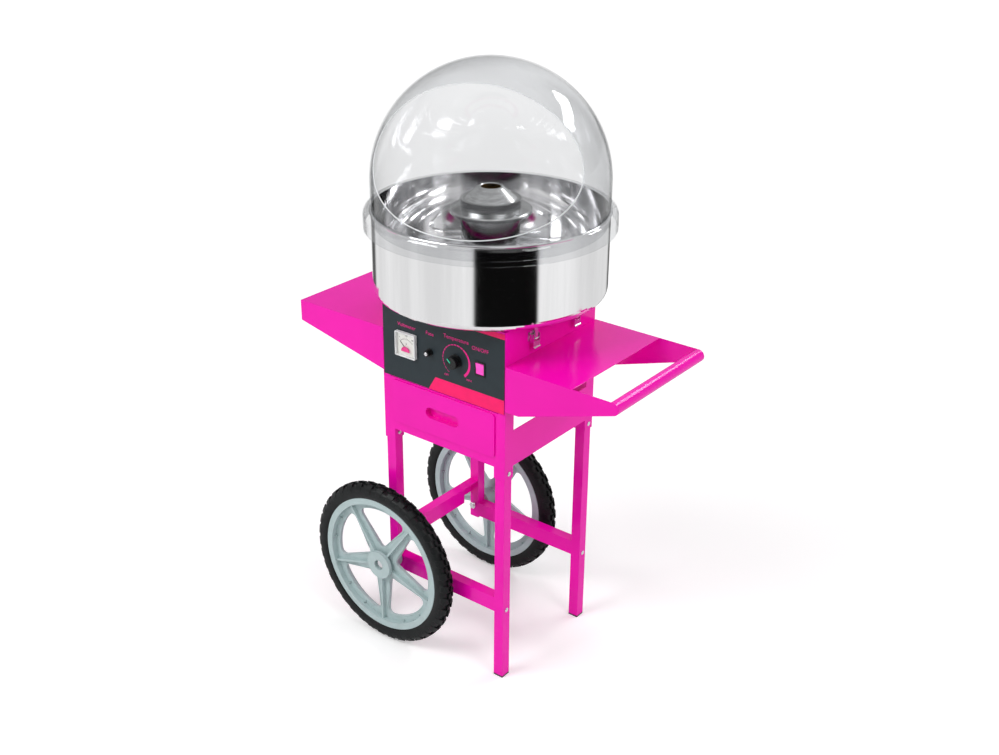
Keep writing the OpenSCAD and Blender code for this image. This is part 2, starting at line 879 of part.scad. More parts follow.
// Machine housing, open below, with its top plate and the holes for controls and drive
module machine_housing() {
    y0 = -machine_d / 2;
    place() color("deeppink") difference() {
        translate([0, 0, machine_bottom]) linear_extrude(machine_h) housing_outline(0);
        translate([0, 0, machine_bottom - cut]) {
            linear_extrude(machine_h - housing_t + cut) housing_outline(housing_t);
        }
        upright(plate_bore_r, machine_top - housing_t - cut, machine_top + cut);
        control_holes(y0 - cut, y0 + housing_t + cut);
        slab([inlet_x - inlet_w / 2, -y0 - housing_t - cut, machine_bottom + inlet_lift - inlet_h / 2],
             [inlet_x + inlet_w / 2, -y0 + cut, machine_bottom + inlet_lift + inlet_h / 2]);
        for (i = sides, j = sides) {
            upright(bolt_r, machine_top - housing_t - cut, machine_top + cut,
                    i * mount_reach, j * mount_reach, small_fn);
        }
    }
}

// Holes in the front wall and the panel for the four controls
module control_holes(y0, y1) {
    along_y(meter_body_r + fit_gap, y0, y1, -meter_x, control_z);
    along_y(fuse_body_r + fit_gap, y0, y1, -fuse_x, control_z);
    along_y(shaft_r + cut, y0, y1, knob_x, control_z);
    slab([rocker_x - rocker_w / 2 + rocker_wall / 2, y0, control_z - rocker_h / 2 + rocker_wall / 2],
         [rocker_x + rocker_w / 2 - rocker_wall / 2, y1, control_z + rocker_h / 2 - rocker_wall / 2]);
}

module machine_base() {
    inset = housing_t + fit_gap;
    place() color("dimgray") difference() {
        translate([0, 0, machine_bottom]) linear_extrude(base_t) housing_outline(inset);
        for (i = [-3 : 3], j = sides) {
            slab([i * vent_pitch - vent_l / 2, j * vent_y - vent_w / 2, machine_bottom - cut],
                 [i * vent_pitch + vent_l / 2, j * vent_y + vent_w / 2,
                  machine_bottom + base_t + cut]);
        }
    }
}

module control_panel() {
    half = machine_w / 2 - panel_margin;
    z0 = machine_bottom + panel_margin;
    z1 = machine_top - panel_drop;
    place() color("darkslategray") difference() {
        slab([-half, panel_face_y, z0], [half, panel_face_y + panel_t, z1]);
        control_holes(panel_face_y - cut, panel_face_y + panel_t + cut);
    }
}

// Square moving coil meter: frame, scale card, needle and clear front
module meter_case() {
    y0 = panel_face_y - meter_case_d;
    place() color("white") difference() {
        union() {
            round_plate(-meter_x, control_z, meter_w, meter_w, meter_rim_t, y0, panel_face_y);
            along_y(meter_body_r, panel_face_y, panel_face_y + meter_body_l, -meter_x, control_z);
        }
        slab([-meter_x - meter_w / 2 + meter_rim_t, y0 - cut,
              control_z - meter_w / 2 + meter_rim_t],
             [-meter_x + meter_w / 2 - meter_rim_t, panel_face_y - meter_scale_t,
              control_z + meter_w / 2 - meter_rim_t]);
        along_y(needle_hub_r / 2 + running_gap, panel_face_y - meter_case_d,
                panel_face_y + meter_case_d, -meter_x, control_z - needle_drop);
    }
}

module meter_scale() {
    half = meter_w / 2 - meter_rim_t - fit_gap / 3;
    y1 = panel_face_y - meter_scale_t;
    place() color("ivory") difference() {
        slab([-meter_x - half, y1 - meter_scale_t, control_z - half],
             [-meter_x + half, y1, control_z + half]);
        along_y(needle_hub_r / 2 + running_gap, y1 - meter_scale_t - cut, y1 + cut,
                -meter_x, control_z - needle_drop);
    }
}

module meter_needle() {
    y0 = panel_face_y - 2 * meter_scale_t - fit_gap;
    z = control_z - needle_drop;
    place() color("black") union() {
        along_y(needle_hub_r, y0 - 2 * needle_t, y0, -meter_x, z);
        along_y(needle_hub_r / 2, y0, panel_face_y + meter_case_d / 2, -meter_x, z);
        translate([-meter_x, 0, z]) rotate([0, -45, 0]) {
            slab([-needle_w / 2, y0 - needle_t, 0], [needle_w / 2, y0, needle_l]);
        }
    }
}

module meter_lens() {
    half = meter_w / 2 - meter_rim_t - fit_gap / 3;
    y0 = panel_face_y - meter_case_d;
    place() color("lightcyan", 0.4) slab([-meter_x - half, y0, control_z - half],
        [-meter_x + half, y0 + meter_window_t, control_z + half]);
}

// Panel fuse holder with its cap and glass fuse
module fuse_holder() {
    y0 = panel_face_y - fuse_flange_t;
    place() color("black") difference() {
        union() {
            along_y(fuse_flange_r, y0, panel_face_y, -fuse_x, control_z);
            along_y(fuse_body_r, panel_face_y, panel_face_y + fuse_body_l, -fuse_x, control_z);
        }
        along_y(fuse_r + fit_gap, y0 - cut, y0 + fuse_l + fit_gap, -fuse_x, control_z);
    }
}

module fuse_cap() {
    y1 = panel_face_y - fuse_flange_t - fit_gap;
    place() color("black") difference() {
        union() {
            along_y(fuse_cap_r, y1 - fuse_cap_l, y1, -fuse_x, control_z);
            along_y(fuse_cap_r / 2, y1 - fuse_cap_l - sheet_t, y1 - fuse_cap_l, -fuse_x, control_z);
        }
        for (k = [0 : 11]) {
            translate([-fuse_x, 0, control_z]) rotate([0, k * 30, 0]) {
                slab([-needle_w / 2, y1 - fuse_cap_l - cut, fuse_cap_r - needle_t],
                     [needle_w / 2, y1 - fuse_cap_l / 3, fuse_cap_r + cut]);
            }
        }
    }
}

module fuse() {
    y0 = panel_face_y - fuse_flange_t;
    place() color("silver") along_y(fuse_r, y0, y0 + fuse_l, -fuse_x, control_z);
}

// Fluted knob on the control's own shaft
module temperature_knob() {
    y1 = panel_face_y - knob_gap;
    flutes = 18;
    flute_r = pointer_w / 2;
    place() color("black") union() {
        difference() {
            union() {
                along_y(knob_skirt_r, y1 - knob_skirt_h, y1, knob_x, control_z, $fn);
                along_y(knob_r, y1 - knob_h, y1 - knob_skirt_h, knob_x, control_z, $fn);
            }
            for (k = [1 : flutes - 1]) {
                translate([knob_x, 0, control_z]) rotate([0, k * 360 / flutes, 0]) {
                    along_y(flute_r, y1 - knob_h - cut, y1 - knob_skirt_h, 0, knob_r, 12);
                }
            }
        }
        translate([knob_x, y1 - knob_h - pointer_h, control_z]) rotate([0, knob_turn, 0]) {
            slab([-pointer_w / 2, 0, knob_r / 4], [pointer_w / 2, pointer_h, knob_r - pointer_h]);
        }
        along_y(shaft_r, y1, panel_face_y + panel_t + housing_t + control_body_l / 2,
                knob_x, control_z);
    }
}

module temperature_control() {
    y0 = panel_face_y + panel_t + housing_t;
    place() color("gray") difference() {
        along_y(control_body_r, y0, y0 + control_body_l, knob_x, control_z);
        along_y(shaft_r + running_gap, y0 - cut, y0 + control_body_l / 2 + fit_gap,
                knob_x, control_z);
    }
}

// Rocker switch frame with its body behind the panel
module rocker_frame() {
    y0 = panel_face_y - rocker_frame_t;
    inner_w = rocker_w / 2 - rocker_wall;
    inner_h = rocker_h / 2 - rocker_wall;
    snug = rocker_wall / 2 + fit_gap;
    place() color("black") difference() {
        union() {
            round_plate(rocker_x, control_z, rocker_w, rocker_h, rocker_frame_t,
                        y0, panel_face_y);
            slab([rocker_x - rocker_w / 2 + snug, panel_face_y, control_z - rocker_h / 2 + snug],
                 [rocker_x + rocker_w / 2 - snug, panel_face_y + rocker_body_d,
                  control_z + rocker_h / 2 - snug]);
        }
        slab([rocker_x - inner_w, y0 - cut, control_z - inner_h],
             [rocker_x + inner_w, panel_face_y + rocker_body_d / 2, control_z + inner_h]);
        along_x(rocker_pin_r + running_gap, rocker_x - inner_w - cut, rocker_x + inner_w + cut,
                panel_face_y + rocker_frame_t, control_z);
    }
}

// Bent rocker: two flat wings that meet at its pin, standing on a round heel
module rocker_switch() {
    half_w = rocker_w / 2 - rocker_wall - fit_gap;
    half_h = rocker_h / 2 - rocker_wall - 2 * fit_gap;
    pin_y = panel_face_y + rocker_frame_t;
    place() color("hotpink") union() {
        translate([rocker_x - half_w, pin_y, control_z]) rotate([90, 0, 90]) {
            linear_extrude(2 * half_w) polygon([
                [-rocker_rise - rocker_frame_t / 2, half_h * rocker_root_share],
                [-rocker_rise + rocker_frame_t / 2, 0],
                [-rocker_rise / 2 - rocker_frame_t / 2, -half_h * rocker_root_share],
                [0, -half_h * rocker_tip_share], [rocker_rise, 0], [0, half_h * rocker_tip_share]
            ]);
        }
        along_x(rocker_pin_r, rocker_x - half_w - fit_gap - rocker_pin_r / 2,
                rocker_x + half_w + fit_gap + rocker_pin_r / 2, pin_y, control_z);
    }
}

// Toggle latches, drawn for the right side at the middle and then set out
module latch_at(i, j) {
    mirror([i > 0 ? 0 : 1, 0, 0]) translate([0, j * latch_y, 0]) children();
}

module latch_plates() {
    x0 = machine_w / 2;
    ear_y = latch_w / 2 + fit_gap;
    place() color("silver") for (i = sides, j = sides) latch_at(i, j) difference() {
        union() {
            slab([x0, -latch_plate_w / 2, latch_pin_z - latch_plate_drop],
                 [x0 + latch_plate_t, latch_plate_w / 2, latch_pin_z + latch_plate_rise]);
            for (s = sides) {
                y0 = s > 0 ? ear_y : -ear_y - latch_ear_t;
                slab([x0, y0, latch_pin_z - latch_plate_drop / 2],
                     [latch_pin_x + 2 * latch_pin_r, y0 + latch_ear_t,
                      latch_pin_z + latch_plate_rise / 2]);
            }
        }
        along_y(latch_pin_r + running_gap, -latch_plate_w, latch_plate_w, latch_pin_x, latch_pin_z);
    }
}

// Lever with its pins and curled finger end
module lever() {
    tip_z = latch_pin_z - latch_lever_l;
    face_x = hook_pin_x;
    color("silver") union() {
        slab([face_x + latch_pin_r, -latch_w / 2, tip_z],
             [face_x + latch_pin_r + lever_t, latch_w / 2, hook_pin_z - lever_drop]);
        for (s = sides) {
            y0 = s > 0 ? latch_w / 2 - lever_t : -latch_w / 2;
            slab([latch_pin_x - latch_pin_r, y0, hook_pin_z - cheek_drop],
                 [face_x + latch_pin_r + lever_t, y0 + lever_t, latch_pin_z + 2 * latch_pin_r]);
        }
        along_y(latch_pin_r, -latch_w / 2 - latch_ear_t - fit_gap / 2,
                latch_w / 2 + latch_ear_t + fit_gap / 2, latch_pin_x, latch_pin_z);
        along_y(latch_pin_r, -latch_w / 2, latch_w / 2, hook_pin_x, hook_pin_z);
        along_y(lever_curl_r, -latch_w / 2, latch_w / 2, face_x + lever_curl_r, tip_z);
    }
}

module front_right_lever() {
    place() latch_at(1, -1) lever();
}

module back_right_lever() {
    place() latch_at(1, 1) lever();
}

module front_left_lever() {
    place() latch_at(-1, -1) lever();
}

module back_left_lever() {
    place() latch_at(-1, 1) lever();
}

// Flat hook that hangs on the lever's second pin and grips the bowl's catch
module hook() {
    x0 = hook_pin_x - hook_t / 2;
    eye_r = latch_pin_r + hook_t;
    color("silver") difference() {
        union() {
            along_y(eye_r, -hook_w / 2, hook_w / 2, hook_pin_x, hook_pin_z);
            slab([x0 + hook_t, -hook_w / 2, hook_pin_z], [x0 + 2 * hook_t, hook_w / 2, hook_top_z]);
            slab([x0 + hook_t - hook_return, -hook_w / 2, hook_top_z - hook_t],
                 [x0 + 2 * hook_t, hook_w / 2, hook_top_z]);
        }
        along_y(latch_pin_r + running_gap, -hook_w, hook_w, hook_pin_x, hook_pin_z);
    }
}

module front_right_hook() {
    place() latch_at(1, -1) hook();
}

module back_right_hook() {
    place() latch_at(1, 1) hook();
}

module front_left_hook() {
    place() latch_at(-1, -1) hook();
}

module back_left_hook() {
    place() latch_at(-1, 1) hook();
}

// Bent catches under the bowl
module bowl_catches() {
    place() color("silver") for (i = sides, j = sides) latch_at(i, j) union() {
        slab([catch_x - catch_t, -catch_w / 2, catch_lip_z],
             [catch_x, catch_w / 2, bowl_bottom]);
        slab([catch_x - catch_t, -catch_w / 2, catch_lip_z],
             [catch_x + catch_lip, catch_w / 2, catch_lip_z + catch_t]);
        slab([catch_x - catch_t - catch_w, -catch_w / 2, bowl_bottom - catch_t],
             [catch_x, catch_w / 2, bowl_bottom]);
    }
}

// Bowl profile: middle collar, floor with pressed rings, rounded edge, wall and rolled rim
bowl_floor = concat(
    [[bowl_hole_r, bowl_bottom + 3 * floor_ring_rise], [bowl_hole_r, bowl_bottom]],
    [[bowl_r - bowl_edge_r, bowl_bottom]],
    arc([bowl_r - bowl_edge_r, bowl_bottom + bowl_edge_r], bowl_edge_r, floor_turn, 0, 8),
    [[bowl_r, rim_z - 2 * rim_bead_r]],
    arc([bowl_r, rim_z - rim_bead_r], rim_bead_r, -90, 90, 8),
    [[bowl_r - bowl_t, rim_z]],
    arc([bowl_r - bowl_edge_r, bowl_bottom + bowl_edge_r], bowl_edge_r - bowl_t, 0, floor_turn, 8),
    [[bowl_r - bowl_edge_r, bowl_bottom + bowl_t]],
    [for (k = [3 : -1 : 1], s = [0, 1, 2, 3])
        let (r0 = bowl_hole_r + k * (bowl_r - bowl_edge_r - bowl_hole_r) / 4)
        [r0 - s * floor_ring_rise, bowl_bottom + bowl_t + (s == 1 || s == 2 ? floor_ring_rise : 0)]],
    [[bowl_hole_r + bowl_t, bowl_bottom + bowl_t]],
    [[bowl_hole_r + bowl_t, bowl_bottom + 3 * floor_ring_rise]]
);

module bowl() {
    place() color("silver") rotate_extrude($fn = fine_fn) polygon(bowl_floor);
}

module seat_ring() {
    place() color("black") difference() {
        upright(seat_ring_r, machine_top, bowl_bottom);
        upright(seat_ring_r - seat_ring_w, machine_top - cut, bowl_bottom + cut);
    }
}

// Fixed column under the head, with its foot on the machine's top
module heat_shield() {
    top = spinner_z - shield_gap;
    place() color("silver") rotate_extrude() polygon([
        [shield_r - shield_t, machine_top], [shield_foot_r, machine_top],
        [shield_foot_r, machine_top + shield_t], [shield_r, machine_top + shield_t],
        [shield_r, top - shield_t], [shield_r - shield_t, top],
        [plate_bore_r, top], [plate_bore_r, top - shield_t],
        [shield_r - 2 * shield_t, top - shield_t],
        [shield_r - 2 * shield_t, machine_top + shield_t],
        [shield_r - shield_t, machine_top + shield_t]
    ]);
}

motor_top = machine_top - housing_t - motor_gap;
module motor() {
    place() color("dimgray") difference() {
        union() {
            upright(motor_r, motor_top - motor_h, motor_top);
            upright(motor_bell_r, motor_top, motor_top + mount_r);
            for (i = sides, j = sides) {
                upright(mount_r + shield_t, motor_top - mount_r, motor_top,
                        i * mount_reach, j * mount_reach, small_fn);
            }
        }
        upright(drive_r + running_gap, motor_top - motor_h / 2, motor_top + mount_r + cut);
    }
}

module motor_mounts() {
    place() color("black") for (i = sides, j = sides) {
        upright(mount_r, motor_top, machine_top - housing_t, i * mount_reach, j * mount_reach, small_fn);
        upright(bolt_r - running_gap, machine_top - housing_t, machine_top,
                i * mount_reach, j * mount_reach, small_fn);
    }
}

module drive_shaft() {
    place() color("silver") {
        upright(drive_r, motor_top - motor_h / 2 + fit_gap, plate_z + base_hub_l / 2, facets = $fn);
    }
}

// Lower plate of the head with its wide catching flange and hub
module spinner_base() {
    rim_top = spinner_z + flange_rim_h;
    place() color("silver") difference() {
        union() {
            rotate_extrude() polygon([
                [0, plate_z], [shield_r + shield_gap, plate_z],
                [spinner_flange_r - 2 * flange_t, rim_top - flange_t],
                [spinner_flange_r - flange_t, rim_top - 2 * flange_t],
                [spinner_flange_r - flange_t, spinner_z], [spinner_flange_r, spinner_z],
                [spinner_flange_r, rim_top - flange_t], [spinner_flange_r - flange_t, rim_top],
                [spinner_cap_r, plate_z + flange_t], [0, plate_z + flange_t]
            ]);
            upright(base_hub_r, plate_z, plate_z + base_hub_l);
        }
        upright(drive_r, spinner_z - cut, plate_z + base_hub_l / 2);
    }
}

// Slotted heater band that the sugar leaves through
module heater_band() {
    z0 = plate_z + flange_t;
    z1 = spinner_z + cap_wall_h - cap_t;
    place() color("goldenrod") difference() {
        upright(band_r, z0, z1);
        upright(band_r - band_t, z0 - cut, z1 + cut);
        for (k = [0 : band_slots - 1]) rotate(k * 360 / band_slots) {
            slab([band_r - 2 * band_t, -band_slot_w / 2, z0 + band_t],
                 [band_r + cut, band_slot_w / 2, z1 - band_t]);
        }
    }
}

// Turned cap of the head: short wall, cone and open mouth for the sugar
module spinner_cap() {
    z0 = plate_z + flange_t;
    z1 = spinner_z + cap_wall_h;
    inner = spinner_cap_r - cap_t;
    lip = 2 * cap_t;
    place() color("silver") rotate_extrude() polygon([
        [inner, z0], [spinner_cap_r, z0], [spinner_cap_r, z1 + cap_lip_h],
        [inner, z1 + cap_lip_h], [inner - cap_t, z1 + cap_t],
        [inner - cap_t - cap_lip_w, z1 + cap_t],
        [cap_mouth_r + lip, cap_top_z - cap_t], [cap_mouth_r, cap_top_z],
        [cap_mouth_r - cap_t, cap_top_z - cap_t], [cap_mouth_r - cap_t, cap_top_z - lip],
        [inner - cap_t - cap_lip_w, z1 - cap_t], [inner, z1 - cap_t]
    ]);
}

// Oval outline of the cover's opening
oval_steps = 60;
oval_points = [
    for (k = [0 : oval_steps - 1])
    [opening_half_w * cos(k * 360 / oval_steps), opening_half_h * sin(k * 360 / oval_steps)]
];

// Section of the flange that rests on the bowl's rim and the skirt with its round shoulder
skirt_bottom = cover_base_z + skirt_t - skirt_h;
shoulder_c = [skirt_r - skirt_shoulder_r, cover_base_z + skirt_t - skirt_shoulder_r];
skirt_points = concat(
    [[cover_r - cover_t, cover_base_z]],
    arc(shoulder_c, skirt_shoulder_r - skirt_t, 90, 0, 6),
    [[skirt_r - skirt_t, skirt_bottom], [skirt_r, skirt_bottom]],
    arc(shoulder_c, skirt_shoulder_r, 0, 90, 8),
    [[cover_r - cover_t, cover_base_z + skirt_t]]
);

// Clear cover: upright wall, dome, resting flange and skirt, with the oblique opening
module dome_cover() {
    inner_r = cover_r - cover_t;
    place() color("lightcyan", 0.4) difference() {
        union() {
            upright(cover_r, cover_base_z, dome_z, facets = fine_fn);
            translate([0, 0, dome_z]) sphere(cover_r, $fn = fine_fn);
            rotate_extrude($fn = fine_fn) polygon(skirt_points);
        }
        upright(inner_r, dome_z - 2 * cover_r, dome_z, facets = fine_fn);
        translate([0, 0, dome_z]) sphere(inner_r, $fn = fine_fn);
        translate([0, 0, dome_z - opening_drop]) rotate(opening_turn) {
            rotate([90 - opening_tilt, 0, 0]) linear_extrude(2 * cover_r) polygon(oval_points);
        }
    }
}

// Appliance inlet in the back wall
module power_inlet() {
    y1 = machine_d / 2 + inlet_t;
    z = machine_bottom + inlet_lift;
    place() color("black") union() {
        difference() {
            union() {
                slab([inlet_x - inlet_w / 2 - inlet_wall, machine_d / 2, z - inlet_h / 2 - inlet_wall],
                     [inlet_x + inlet_w / 2 + inlet_wall, y1, z + inlet_h / 2 + inlet_wall]);
                slab([inlet_x - inlet_w / 2, y1 - inlet_body_d, z - inlet_h / 2],
                     [inlet_x + inlet_w / 2, y1, z + inlet_h / 2]);
            }
            slab([inlet_x - inlet_w / 2 + inlet_wall, y1 - inlet_well, z - inlet_h / 2 + inlet_wall],
                 [inlet_x + inlet_w / 2 - inlet_wall, y1 + cut, z + inlet_h / 2 - inlet_wall]);
        }
        for (k = [-1 : 1]) {
            x = inlet_x + k * inlet_w / 4;
            slab([x - pin_size[0] / 2, y1 - inlet_well, z - pin_size[2] / 2],
                 [x + pin_size[0] / 2, y1 - inlet_well + pin_size[1], z + pin_size[2] / 2]);
        }
    }
}

cart_shell();
front_right_leg();
back_right_leg();
front_left_leg();
back_left_leg();
foot_caps();
front_rail();
back_rail();
cross_rail();
frame_bolts();
front_axle();
back_axle();
front_wheel_rim();
front_wheel_tyre();
back_wheel_rim();
back_wheel_tyre();
left_tray();
right_tray();
handle_tube();
drawer_front();
drawer_box();
drawer_runners();
machine_housing();
machine_base();
control_panel();
meter_case();
meter_scale();
meter_needle();
meter_lens();
fuse_holder();
fuse_cap();
fuse();
temperature_knob();
temperature_control();
rocker_frame();
rocker_switch();
latch_plates();
front_right_lever();
back_right_lever();
front_left_lever();
back_left_lever();
front_right_hook();
back_right_hook();
front_left_hook();
back_left_hook();
bowl_catches();
bowl();
seat_ring();
heat_shield();
motor();
motor_mounts();
drive_shaft();
spinner_base();
heater_band();
spinner_cap();
dome_cover();
power_inlet();
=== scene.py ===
"""Looks, floor, light and camera for the cotton candy machine on its cart.

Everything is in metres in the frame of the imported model. Sizes and places are written in
millimetres from the middle of the cart, and mm() and at() turn them into metres.
"""
import json
import math

import bmesh
import bpy
from mathutils import Euler, Matrix, Vector


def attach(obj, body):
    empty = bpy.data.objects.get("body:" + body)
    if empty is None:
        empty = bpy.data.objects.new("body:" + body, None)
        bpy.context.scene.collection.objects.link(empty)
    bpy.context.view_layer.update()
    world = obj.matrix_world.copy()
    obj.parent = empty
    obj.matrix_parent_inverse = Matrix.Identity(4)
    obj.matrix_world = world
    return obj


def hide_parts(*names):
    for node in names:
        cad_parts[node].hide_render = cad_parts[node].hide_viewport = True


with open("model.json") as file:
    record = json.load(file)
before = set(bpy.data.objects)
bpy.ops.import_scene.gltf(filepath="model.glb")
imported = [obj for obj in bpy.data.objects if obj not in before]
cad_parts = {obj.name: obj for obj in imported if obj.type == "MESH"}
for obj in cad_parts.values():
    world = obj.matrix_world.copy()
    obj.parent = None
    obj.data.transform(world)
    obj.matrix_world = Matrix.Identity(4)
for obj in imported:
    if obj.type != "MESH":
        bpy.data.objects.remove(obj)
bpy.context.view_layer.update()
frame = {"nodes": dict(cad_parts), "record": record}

MM = 0.001
FRAME_X = -11.5
TURN = 2 * math.pi


def mm(*values):
    """Millimetres to metres: a number, or a vector where several are given."""
    return values[0] * MM if len(values) == 1 else Vector([value * MM for value in values])


def at(x, y, z):
    """A place given in millimetres from the middle of the cart."""
    return mm(x + FRAME_X, y, z)


def srgb(red, green, blue):
    """An 8-bit screen colour as a linear RGBA tuple."""
    def linear(value):
        value /= 255
        return value / 12.92 if value <= 0.04045 else ((value + 0.055) / 1.055) ** 2.4
    return (linear(red), linear(green), linear(blue), 1.0)


# Materials


class Look:
    """A Principled material whose detail is added in steps."""

    TINT_SPAN = (0.35, 0.65)
    VARY_SPAN = (0.3, 0.7)

    def __init__(self, name, colour, **sockets):
        self.material = bpy.data.materials.new(name)
        self.material.use_nodes = True
        self.nodes = self.material.node_tree.nodes
        self.links = self.material.node_tree.links
        self.shader = self.nodes["Principled BSDF"]
        self.shader.inputs["Base Color"].default_value = colour
        for socket, value in sockets.items():
            self.shader.inputs[socket.replace("_", " ")].default_value = value
        self.coords = self.nodes.new("ShaderNodeTexCoord").outputs["Object"]
        self.normal = None

    def mapped(self, stretch, origin=(0, 0, 0)):
        """The object's own coordinates, stretched along each axis about an origin."""
        mapping = self.nodes.new("ShaderNodeMapping")
        mapping.inputs["Location"].default_value = [-o * s for o, s in zip(origin, stretch)]
        mapping.inputs["Scale"].default_value = stretch
        self.links.new(self.coords, mapping.inputs["Vector"])
        return mapping.outputs["Vector"]

    def noise(self, scale, stretch=(1, 1, 1), detail=3.0, roughness=0.5):
        texture = self.nodes.new("ShaderNodeTexNoise")
        texture.inputs["Scale"].default_value = scale
        texture.inputs["Detail"].default_value = detail
        texture.inputs["Roughness"].default_value = roughness
        self.links.new(self.mapped(stretch), texture.inputs["Vector"])
        return texture.outputs["Fac"]

    def rings(self, scale, distortion, origin):
        """Turning marks round the spin axis."""
        texture = self.nodes.new("ShaderNodeTexWave")
        texture.wave_type = "RINGS"
        texture.rings_direction = "Z"
        texture.inputs["Scale"].default_value = scale
        texture.inputs["Distortion"].default_value = distortion
        self.links.new(self.mapped((1, 1, 1), origin), texture.inputs["Vector"])
        return texture.outputs["Fac"]

    def tint(self, factor, low, high):
        """Lets the base colour drift between two close colours."""
        ramp = self.nodes.new("ShaderNodeValToRGB")
        for element, place, colour in zip(ramp.color_ramp.elements, self.TINT_SPAN, (low, high)):
            element.position = place
            element.color = colour
        self.links.new(factor, ramp.inputs["Fac"])
        self.links.new(ramp.outputs["Color"], self.shader.inputs["Base Color"])

    def vary(self, socket, factor, low, high):
        """Lets a number of the shader drift between two values."""
        spread = self.nodes.new("ShaderNodeMapRange")
        spread.inputs["From Min"].default_value = self.VARY_SPAN[0]
        spread.inputs["From Max"].default_value = self.VARY_SPAN[1]
        spread.inputs["To Min"].default_value = low
        spread.inputs["To Max"].default_value = high
        self.links.new(factor, spread.inputs["Value"])
        self.links.new(spread.outputs["Result"], self.shader.inputs[socket])

    def round_edges(self, radius):
        """Shades sharp folded or moulded edges as small rounds."""
        bevel = self.nodes.new("ShaderNodeBevel")
        bevel.samples = 4
        bevel.inputs["Radius"].default_value = radius
        self.normal = bevel.outputs["Normal"]
        self.links.new(self.normal, self.shader.inputs["Normal"])

    def bump(self, height, distance, strength):
        """Fine relief, laid over the rounded edges where there are any."""
        bump = self.nodes.new("ShaderNodeBump")
        bump.inputs["Strength"].default_value = strength
        bump.inputs["Distance"].default_value = distance
        self.links.new(height, bump.inputs["Height"])
        if self.normal:
            self.links.new(self.normal, bump.inputs["Normal"])
        self.normal = bump.outputs["Normal"]
        self.links.new(self.normal, self.shader.inputs["Normal"])


def lighter(colour, factor):
    """The same colour at another level, for factors over 1 lighter."""
    return tuple(min(1.0, channel * factor) for channel in colour[:3]) + (1.0,)


def powder_coat():
    """Smooth glossy paint: even colour, a sharp shine and only a slight flow in the coat."""
    pink = srgb(243, 8, 176)
    look = Look("pink_powder_coat", pink, Roughness=0.16, Specular_IOR_Level=0.22)
    look.tint(look.noise(5, detail=3), lighter(pink, 0.96), lighter(pink, 1.03))
    look.vary("Roughness", look.noise(24), 0.12, 0.2)
    look.round_edges(mm(0.9))
    look.bump(look.noise(70, detail=1), mm(0.06), 0.12)
    return look.material


def plain_metal(name, colour, rough):
    """Plated or plain metal with fine marks and slightly rounded edges."""
    look = Look(name, colour, Metallic=1.0, Roughness=rough)
    marks = look.noise(700, detail=2)
    look.tint(look.noise(25, detail=3), lighter(colour, 0.94), lighter(colour, 1.03))
    look.vary("Roughness", marks, rough * 0.75, rough * 1.3)
    look.round_edges(mm(0.4))
    look.bump(marks, mm(0.01), 0.25)
    return look.material


def bowl_steel():
    """Spun and polished stainless: a mirror with faint upright streaks and turning marks."""
    steel = srgb(238, 238, 239)
    look = Look("bowl_steel", steel, Metallic=1.0, Roughness=0.07)
    streaks = look.noise(26, (1, 1, 0.06), detail=4, roughness=0.6)
    look.tint(streaks, lighter(steel, 0.93), lighter(steel, 1.03))
    look.vary("Roughness", look.noise(9, (1, 1, 0.3), detail=4), 0.045, 0.11)
    look.bump(look.rings(24, 0.3, (mm(FRAME_X), 0, 0)), mm(0.05), 0.12)
    return look.material


def turned_aluminium():
    """Turned alloy: the light spreads across the turning marks into bright and dark wedges."""
    silver = srgb(176, 177, 178)
    look = Look("turned_aluminium", silver, Metallic=1.0, Roughness=0.2, Anisotropic=0.75)
    marks = look.rings(160, 0.3, (mm(FRAME_X), 0, 0))
    look.tint(look.noise(40, (1, 1, 6)), lighter(silver, 0.85), lighter(silver, 1.06))
    look.vary("Roughness", marks, 0.16, 0.26)
    look.bump(marks, mm(0.02), 0.15)
    round_axis = look.nodes.new("ShaderNodeTangent")
    round_axis.direction_type = "RADIAL"
    round_axis.axis = "Z"
    look.links.new(round_axis.outputs["Tangent"], look.shader.inputs["Tangent"])
    return look.material


def moulded(name, colour, rough, grain=mm(0.03), spread=0.08, edge=mm(0.6), **sockets):
    """Plastic, rubber or print with a fine skin, a slight cloud in its colour and soft edges."""
    look = Look(name, colour, Roughness=rough, **sockets)
    look.tint(look.noise(40, detail=4), lighter(colour, 1 - spread), lighter(colour, 1 + spread))
    skin = look.noise(900, detail=2)
    look.vary("Roughness", skin, rough * 0.85, rough * 1.15)
    look.round_edges(edge)
    look.bump(skin, grain, 0.4)
    return look.material


def tyre_rubber():
    """Foam rubber tyre: nearly black with a slight shine on the shoulders."""
    look = Look("tyre_rubber", srgb(13, 16, 17), Roughness=0.42, Specular_IOR_Level=0.22)
    look.tint(look.noise(45, detail=6, roughness=0.7), srgb(10, 12, 13), srgb(19, 23, 24))
    skin = look.noise(500, detail=4)
    look.vary("Roughness", skin, 0.34, 0.55)
    look.round_edges(mm(0.6))
    look.bump(skin, mm(0.06), 0.4)
    return look.material


